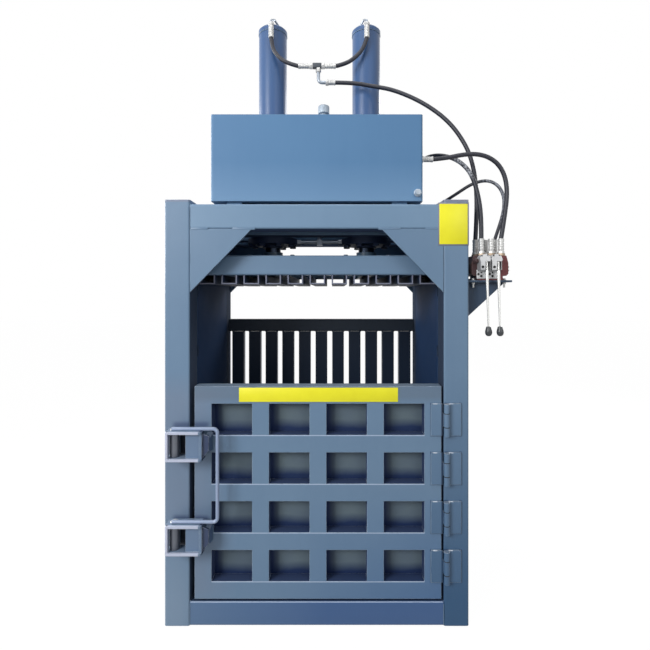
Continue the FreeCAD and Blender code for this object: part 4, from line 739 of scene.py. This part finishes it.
def addLever(body, pivot, spec):
    down = (math.sin(spec["lean"]), 0, -math.cos(spec["lean"]))
    low, neck, rod = spec["length"], spec["neck"], spec["rod"]
    bar = turnedPiece([(neck, 0.0075), (neck, 0.034), (rod, 0.042), (rod, 0.062), (neck, 0.12),
                       (spec["tip"], low)], pivot, down, 24)
    hub = turnedPiece([(0.0076, -0.0088), (0.0089, -0.0076), (0.0089, 0.0076), (0.0076, 0.0088)], pivot, right)
    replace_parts(dress(body + "Bar", [bar, hub], body, "bright_steel", leverWhite), body)
    rounds = [(spec["knob"] * wide, low + spec["knobTall"] * tall) for wide, tall in spec["knobRounds"]]
    dress(body + "Knob", [turnedPiece(rounds, pivot, down)], body, "hose_rubber", knobPlastic)


for body, pivot in lever["pivots"].items():
    addLever(body, pivot, lever)

housing = {
    "left": -0.03,
    "right": 0.0125,
    "back": -0.33,
    "front": -0.3772,
    "dome": 0.0205,
    "waist": 0.0185,
    "low": -0.042,
    "cavity": {"half": 0.0095, "front": -0.3746, "back": -0.333, "high": 0.0106},
    "slot": {"half": 0.0085, "high": -0.008},
    "flange": {"front": -0.336, "low": -0.0745},
    "screws": ((-0.0195, -0.03, 0.0052), (-0.0225, 0.0135, 0.0026), (0.0, 0.0155, 0.0026)),
    "flangeScrews": ((-0.0235, -0.056, 0.0046), (-0.0125, -0.064, 0.0046), (-0.0125, -0.0495, 0.003)),
}


def combine(piece, other, operation):
    cut = piece.modifiers.new("cut", "BOOLEAN")
    cut.object = other
    cut.operation = operation
    cut.solver = "EXACT"
    applyAll(piece)
    bpy.data.objects.remove(other)


def addHousing(pivot, spec):
    x, y, z = pivot
    cavity, slot, flange, back = spec["cavity"], spec["slot"], spec["flange"], spec["back"]
    middle = x + (spec["left"] + spec["right"]) / 2
    shell = turnedPiece([(spec["dome"], 0), (spec["dome"], back - spec["front"])], (middle, back, z), front, 40)
    combine(shell, boxBetween((middle - spec["waist"], spec["front"], z + spec["low"]),
                              (middle + spec["waist"], back, z), 0.0005), "UNION")
    softenEdges(shell, 0.004, 4, 40)
    below = z + spec["low"] - 0.02
    for half, near, high in ((cavity["half"], cavity["front"], z + cavity["high"]),
                             (slot["half"], spec["front"] - 0.02, z + slot["high"])):
        combine(shell, boxBetween((x - half, near, below), (x + half, cavity["back"], high), 0.0005), "DIFFERENCE")
    pick(shell)
    smooth(30)
    plate = boxBetween((x + spec["left"], flange["front"], z + flange["low"]),
                       (x + spec["right"], back, z + spec["low"] + 0.004), 0.0025, 3)
    pin = turnedPiece([(0.0042, -0.0108), (0.0042, 0.0135), (0.0062, 0.0138), (0.0062, 0.0152),
                       (0.0052, 0.016)], pivot, right, 24)
    sockets = [turnedPiece([(size, -0.001), (size, 0.001), (size * 0.8, 0.0014),
                            (size * 0.4, 0.0005)], (x + across, face, z + lift), front, 20)
               for marks, face in ((spec["screws"], spec["front"]), (spec["flangeScrews"], flange["front"]))
               for across, lift, size in marks]
    return joined([shell, plate, pin]), sockets


def addHousings():
    shells, sockets = [], []
    for pivot in lever["pivots"].values():
        shell, screws = addHousing(pivot, housing)
        shells.append(shell)
        sockets += screws
    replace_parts(dress("leverHousings", shells, "frame", "bright_steel", castSilver), "lever_clevises")
    dress("housingScrews", sockets, "frame", "dark_steel", shadowHole)


addHousings()
print("levers done")


# valve: end cover, section joints and the bolts that hold it to its shelf

valve = {
    "low": (0.617, -0.33, 1.363),
    "high": (0.763, -0.235, 1.461),
    "joints": (0.6435, 0.6875, 0.7325),
    "shelfUnder": 1.355,
}


def addHexBolt(across, tall, start):
    washer = turnedPiece([(across * 0.62, 0), (across * 0.62, 0.002), (across * 0.5, 0.0024)], start, up, 24)
    head = hexPiece(across * 1.1, tall, Vector(start) + Vector(up) * 0.002, up, 0.0012)
    return joined([washer, head])


def addValveTrim(spec):
    (left, near, low), (far, back, high) = spec["low"], spec["high"]
    seams = [boxBetween((x - 0.0008, near - 0.0006, low + 0.026), (x + 0.0008, back + 0.0006, high + 0.0006),
                        0.0003) for x in spec["joints"]]
    dress("valveSeams", seams, "frame", "valve_iron", shadowHole)
    cover = boxBetween((left - 0.003, near + 0.008, low + 0.028), (left + 0.004, back - 0.008, high - 0.032))
    relief = (left + 0.014, near, high - 0.022)
    plug = hexPiece(0.024, 0.012, relief, front)
    cap = turnedPiece([(0.0085, 0.012), (0.0085, 0.024), (0.006, 0.027)], relief, front, 28)
    dress("valveCover", [cover, plug, cap], "frame", "valve_iron", coverBrown)
    bolts = []
    for y in (near + 0.02, back - 0.02):
        for z in (low + 0.04, high - 0.045):  # tie rods' nuts and ends
            bolts.append(hexPiece(0.014, 0.006, (far, y, z), right, 0.0008))
            bolts.append(turnedPiece([(0.004, 0.005), (0.004, 0.009), (0.0034, 0.0096)], (far, y, z), right, 16))
    for x in (left + 0.011, far - 0.011):
        for y in (near + 0.016, back - 0.016):
            under = (x, y, spec["shelfUnder"])  # mounting bolts with their nuts and ends
            bolts.append(addHexBolt(0.013, 0.006, (x, y, low)))
            bolts.append(hexPiece(0.0145, 0.007, under, (0, 0, -1), 0.0008))
            bolts.append(turnedPiece([(0.004, 0.006), (0.004, 0.02), (0.0034, 0.021)], under, (0, 0, -1), 16))
    dress("valveBolts", bolts, "frame", "bright_steel")


addValveTrim(valve)
print("valve trim done")


# weld beads: a row of small overlapping ripples

weld = {"step": 0.0042, "flat": 0.8, "ringThick": 0.0034, "ringRipples": 90, "ripple": 0.0007}


def addBead(start, end, radius):
    start, end = Vector(start), Vector(end)
    run = end - start
    clearSelection()
    bpy.ops.mesh.primitive_uv_sphere_add(segments=8, ring_count=5, radius=radius)
    bpy.context.active_object.scale = (1, 1, weld["flat"])
    bead = settled()
    row = bead.modifiers.new("row", "ARRAY")
    row.use_relative_offset = False
    row.use_constant_offset = True
    row.constant_offset_displace = (0, 0, weld["step"])
    row.count = max(2, int(run.length / weld["step"]))
    applyAll(bead)
    return aim(bead, start, run)


def upright(x, y, low, high, radius):
    return addBead((x, y, low), (x, y, high), radius)


def level(left, far, y, z, radius):
    return addBead((left, y, z), (far, y, z), radius)


def inward(x, near, far, z, radius):
    return addBead((x, near, z), (x, far, z), radius)


def addRing(centre, radius, thick=weld["ringThick"]):
    clearSelection()
    ripples = weld["ringRipples"]
    bpy.ops.mesh.primitive_torus_add(major_radius=radius, minor_radius=thick, major_segments=ripples * 2,
                                     minor_segments=8)
    ring = bpy.context.active_object
    mode("EDIT")
    bpy.ops.mesh.select_all(action="DESELECT")
    mode("OBJECT")
    for vertex in ring.data.vertices:
        slot = round(math.atan2(vertex.co.y, vertex.co.x) / (math.pi / ripples))
        vertex.select = slot % 2 == 0
    mode("EDIT")
    bpy.ops.transform.shrink_fatten(value=-weld["ripple"])
    mode("OBJECT")
    return aim(ring, centre, up)


def weldPiece(name, beads, body):
    pick(dress(name, beads, body, "frame_paint", weldPaint))
    bpy.ops.object.shade_smooth()


def addFrameWelds():
    beads = []
    for x in (-0.5, 0.5):
        for y in (-0.3502, 0.3502):
            if x < 0 or y > 0:
                beads.append(upright(x, y, 1.572, 1.656, 0.0022))
            beads.append(upright(x, y, 0.008, 0.09, 0.0022))
        inner = x - 0.0015 if x > 0 else x + 0.0015
        beads += [inward(x, near, near + 0.09, 1.6635, 0.003) for near in (-0.345, 0.255)]
        beads += [upright(inner, -0.3485, low, low + 0.04, 0.0026) for low in (1.32, 1.43)]
        beads.append(upright(inner, -0.251, 0.15, 0.2, 0.0028))
        beads += [upright(inner, -0.2495, low, low + 0.05, 0.0028) for low in (0.3, 0.55, 0.8, 1.05, 1.3)]
    for side in (-1, 1):
        for y in (-0.25, 0.25):
            beads += [upright(side * 0.6, y, low, high, 0.0022) for low, high in ((1.572, 1.656), (0.008, 0.09))]
        for i in range(4):
            z = 0.097 + (1.565 - 0.097) * (i + 0.5) / 4
            beads += [level(side * 0.51, side * 0.545, y, z + lift, 0.0028)
                      for y in (-0.2485, 0.2485) for lift in (0.0315, -0.0315)]
    weldPiece("frameWelds", beads, "frame")


def addGroundSeams():
    strips = []
    for side in (-1, 1):
        for near, far in ((0.243, 0.332), (0.428, 0.497)):
            low, high = sorted((side * near, side * far))
            strips.append(boxBetween((low, -0.3502, 1.561), (high, -0.346, 1.57), 0.0001))
    dress("groundSeams", strips, "frame", "frame_paint", seamPaint)


def addRearWelds():
    beads = [inward(x, 0.303, 0.337, z, 0.0026) for x in barEdges for z in (1.1055, 0.0975)]
    weldPiece("rearWelds", beads, "frame")


def addCylinderWelds():
    beads = []
    for x in cylinderLines:
        beads.append(addRing((x, 0, 2.5225), 0.0655, 0.0022))
        beads.append(addRing((x, 0, 1.664), 0.0665))
    weldPiece("cylinderWelds", beads, "frame")


def addPlatenWelds():
    beads = []
    for x in cylinderLines:
        beads.append(addRing((x, 0, 1.4765), 0.047))
        beads += [level(x + shift, x + shift + 0.07, y, 1.4675, 0.003)
                  for y in (-0.0905, 0.0905) for shift in (-0.1, 0.03)]
        beads += [upright(x + side, y, 1.39, 1.46, 0.0028) for side in (-0.0315, 0.0315) for y in (-0.222, 0.2285)]
    beads += [inward(x, -0.2845, -0.262, 1.3845, 0.0022) for x in barEdges]
    weldPiece("platenWelds", beads, "platen")


def addHingeWelds():
    doorBeads, postBeads = [], []
    for foot in windowFeet:
        low = foot - 0.001
        high = low + 0.126
        doorBeads.append(upright(0.4495, -0.3505, low, high, 0.0026))
        postBeads.append(upright(0.5685, -0.3505, low, high, 0.0026))
        for z in (low - 0.0005, high + 0.0005):
            doorBeads.append(level(0.452, 0.49, -0.3505, z, 0.0024))
            postBeads.append(level(0.526, 0.566, -0.3505, z, 0.0024))
    weldPiece("hingeDoorWelds", doorBeads, "door")
    weldPiece("hingePostWelds", postBeads, "frame")


def addLatchWelds():
    frameBeads, doorBeads, latchBeads = [], [], []
    for low in latchFeet:
        frameBeads += [upright(x, -0.3515, low + 0.013, low + 0.1, 0.003) for x in (-0.5508, -0.5392)]
        doorBeads += [upright(x, -0.3505, low + 0.025, low + 0.088, 0.0026) for x in (-0.43, -0.408)]
        latchBeads += [level(-0.49, -0.44, -0.4005, low + lift, 0.0024) for lift in (0.0115, 0.1015)]
        latchBeads.append(level(-0.548, -0.45, -0.4115, low + 0.1135, 0.0026))
    weldPiece("latchBossWelds", frameBeads, "frame")
    weldPiece("keeperWelds", doorBeads, "door")
    weldPiece("claspWelds", latchBeads, "latch")


addFrameWelds()
addGroundSeams()
addRearWelds()
addCylinderWelds()
addPlatenWelds()
addHingeWelds()
addLatchWelds()
print("welds done")


# pins, washers and bolts

def addBolts():
    rodBolts = [addHexBolt(0.02, 0.009, (x + dx, y, 1.476))
                for x in cylinderLines for dx in (-0.098, 0.098) for y in (-0.07, 0.07)]
    dress("rodPlateBolts", rodBolts, "platen", "dark_steel")
    motorBolts = [addHexBolt(0.016, 0.008, (x, y, 1.6785)) for x in (-0.315, -0.135) for y in (0.13, 0.27)]
    dress("motorFootBolts", motorBolts, "frame", "dark_steel")


def addLatchPins():
    ends = [(0.0165, 0), (0.0165, 0.0026), (0.015, 0.0034), (0.0098, 0.0036), (0.0098, 0.006), (0.0085, 0.0074)]
    pins = [turnedPiece(ends, (-0.545, -0.39, z), (0, 0, way))
            for low in latchFeet for z, way in ((low, -1), (low + 0.113, 1))]
    dress("latchPinEnds", pins, "latch", "bright_steel")


def addKnuckleGrooves():
    groove = [(0.0118, 0), (0.01235, 0.0002), (0.01235, 0.003), (0.0118, 0.0032)]
    grooves = [turnedPiece(groove, (0.509, -0.363, foot + lift - 0.0021))
               for foot in windowFeet for lift in (0.0355, 0.0895)]
    dress("knuckleGrooves", grooves, "frame", "dark_steel", shadowHole)


# light strips on the clasps' left edges, in a light paint: painted highlight
def addClaspRims():
    rims = [boxBetween((-0.5712, -0.4238, low), (-0.5605, -0.41, low + 0.113), 0.003, 3) for low in latchFeet]
    dress("claspRims", rims, "latch", "frame_paint", claspRimHighlight)


addBolts()
addLatchPins()
addKnuckleGrooves()
addClaspRims()
print("pins and bolts done")


# yellow sheets, left bare, and the backing behind one

sheets = {
    "doorStrip": {"low": (-0.306, -0.3512, 0.883), "high": (0.32, -0.3498, 0.939), "body": "door",
                  "slot": "sheet_paint", "material": labelYellow},
    "postPlate": {"low": (0.483, -0.3514, 1.504), "high": (0.5945, -0.3498, 1.663), "body": "frame",
                  "slot": "sheet_paint", "material": labelYellow},
    "plateBacking": {"low": (0.479, -0.3506, 1.499), "high": (0.5995, -0.3495, 1.6685), "body": "frame",
                     "slot": "frame_paint", "material": backPlate},
}
for name, spec in sheets.items():
    sheet = boxBetween(spec["low"], spec["high"], 0.0004)
    dress(name, [sheet], spec["body"], spec["slot"], spec["material"])
print("yellow sheets done")


# breather and drain plug of the tank

tank = {"breather": (0.026, -0.275, 2.018), "drain": (0.398, -0.345, 1.707)}


def addTankTrim(spec):
    cap = turnedPiece([(0.023, 0), (0.023, 0.005), (0.015, 0.006), (0.015, 0.027), (0.0215, 0.028),
                       (0.023, 0.03), (0.023, 0.055), (0.0215, 0.0595), (0.018, 0.062),
                       (0.008, 0.063)], spec["breather"], up, 40)
    plug = turnedPiece([(0.015, 0), (0.015, 0.007), (0.0138, 0.008), (0.012, 0.0085), (0.012, 0.0195),
                        (0.0105, 0.0215), (0.004, 0.022)], spec["drain"], front)
    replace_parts(dress("tankTrim", [cap, plug], "frame", "bright_steel", capSilver), "tank_fittings")


addTankTrim(tank)
print("tank trim done")


# motor fins, fan guard and terminal lid

motor = {
    "axis": (0.2, 1.793),
    "left": -0.35,
    "length": 0.25,
    "radius": 0.095,
    "fins": 52,
    "guard": 0.085,
}


def addFins(spec):
    y, z = spec["axis"]
    fins = []
    fin = boxBetween((spec["left"] + 0.016, -0.0016, spec["radius"] - 0.001),
                     (spec["left"] + spec["length"] - 0.016, 0.0016, spec["radius"] + 0.012), 0.0008)
    for i in range(spec["fins"]):
        angle = 2 * math.pi * i / spec["fins"]
        degrees = math.degrees(angle)
        if min(degrees, 360 - degrees) < 36 or 142 < degrees < 218:
            continue  # room for the terminal box and the foot
        twin = link(fin.copy())
        twin.data = fin.data.copy()
        twin.data.transform(Matrix.Translation(Vector((0, y, z))) @ Matrix.Rotation(angle, 4, "X"))
        fins.append(twin)
    bpy.data.objects.remove(fin)
    dress("motorFins", fins, "frame", "motor_paint")


def addGuard(spec):
    y, z = spec["axis"]
    bars = []
    for i in range(-5, 6):
        height = i * 0.0145
        half = math.sqrt(spec["guard"] ** 2 - height ** 2)
        bars.append(boxBetween((-0.4135, y - half, z + height - 0.002),
                               (-0.4095, y + half, z + height + 0.002), 0.0008))
    ring = turnedPiece([(0.0885, 0), (0.0885, 0.003), (0.094, 0.0036), (0.0945, 0.001)],
                       (-0.4105, y, z), (-1, 0, 0), 48)
    lid = boxBetween((-0.2805, 0.1545, 1.9395), (-0.1695, 0.2455, 1.945))
    gland = turnedPiece([(0.011, 0), (0.011, 0.006), (0.0085, 0.008), (0.0085, 0.018), (0.006, 0.021)],
                        (-0.17, 0.2, 1.914), right, 24)
    dress("motorGuard", [*bars, ring, lid, gland], "frame", "motor_paint")


addFins(motor)
addGuard(motor)
print("motor trim done")


# floor, light and background

room = {
    "floorColour": (0.3, 0.3, 0.3, 1),
    "floorGlow": 1.09,
    "floorShare": 0.9,
    "airColour": (0.94, 0.97, 1.0, 1),
    "airStrength": 0.16,
}


def seenPlainly(tree):
    # 1 to the camera, and in mirrors and glass
    path = addNode(tree, "LightPath")
    seen = mathNode(tree, "MAXIMUM", path["Is Camera Ray"], path["Is Glossy Ray"])
    return mathNode(tree, "MAXIMUM", seen, path["Is Transmission Ray"])


def mixShaders(tree, amount, first, second, target):
    mix = addNode(tree, "MixShader", {0: amount, 1: first, 2: second})
    feed(tree, tree.nodes[target], {0: mix[0]})


def addFloor(spec):
    clearSelection()
    bpy.ops.mesh.primitive_plane_add(size=40, location=(0, 0, -0.0005))
    floor = bpy.context.active_object
    floor.name = "studioFloor"
    material = bpy.data.materials.new("paleFloor")
    material.use_nodes = True
    tree = material.node_tree
    shader = tree.nodes["Principled BSDF"]
    feed(tree, shader, {"Base Color": spec["floorColour"], "Roughness": 0.8})
    glow = addNode(tree, "Emission", {"Strength": spec["floorGlow"]})
    share = mathNode(tree, "MULTIPLY", seenPlainly(tree), spec["floorShare"])
    mixShaders(tree, share, shader.outputs[0], glow[0], "Material Output")
    floor.data.materials.append(material)


def addWorld(spec):
    world = bpy.data.worlds.new("paleRoom")
    bpy.context.scene.world = world
    world.use_nodes = True
    tree = world.node_tree
    air = tree.nodes["Background"]
    feed(tree, air, {"Color": spec["airColour"], "Strength": spec["airStrength"]})
    white = addNode(tree, "Background", {"Color": (1, 1, 1, 1), "Strength": 1.0})
    mixShaders(tree, seenPlainly(tree), air.outputs[0], white[0], "World Output")


lamps = {
    "keyLamp": {"place": (-3.5, -4.2, 3.0), "aim": (-0.2, -0.3, 1.2), "size": 2.4, "power": 230},
    "fillLamp": {"place": (2.6, -4.2, 3.0), "aim": (0.1, -0.2, 1.5), "size": 2.0, "power": 40},
    "topLamp": {"place": (-0.2, -1.4, 4.9), "aim": (0, -0.1, 1.8), "size": 2.0, "power": 50},
    "backLamp": {"place": (2.6, 3.6, 3.2), "aim": (0.1, 0.2, 1.3), "size": 2.0, "power": 70},
    "rimLamp": {"place": (-2.9, 1.1, 2.3), "aim": (-0.2, 0, 2.1), "size": 1.7, "power": 85},
}


def addLamps(specs):
    for name, spec in specs.items():
        data = bpy.data.lights.new(name, "AREA")
        data.shape = "SQUARE"
        data.size = spec["size"]
        data.energy = spec["power"]
        lamp = bpy.data.objects.new(name, data)
        lamp.location = spec["place"]
        look = Vector(spec["aim"]) - Vector(spec["place"])
        lamp.rotation_euler = look.to_track_quat("-Z", "Y").to_euler()
        link(lamp)


addFloor(room)
addWorld(room)
addLamps(lamps)
bpy.context.scene.view_settings.view_transform = "Standard"
print("light and floor set")
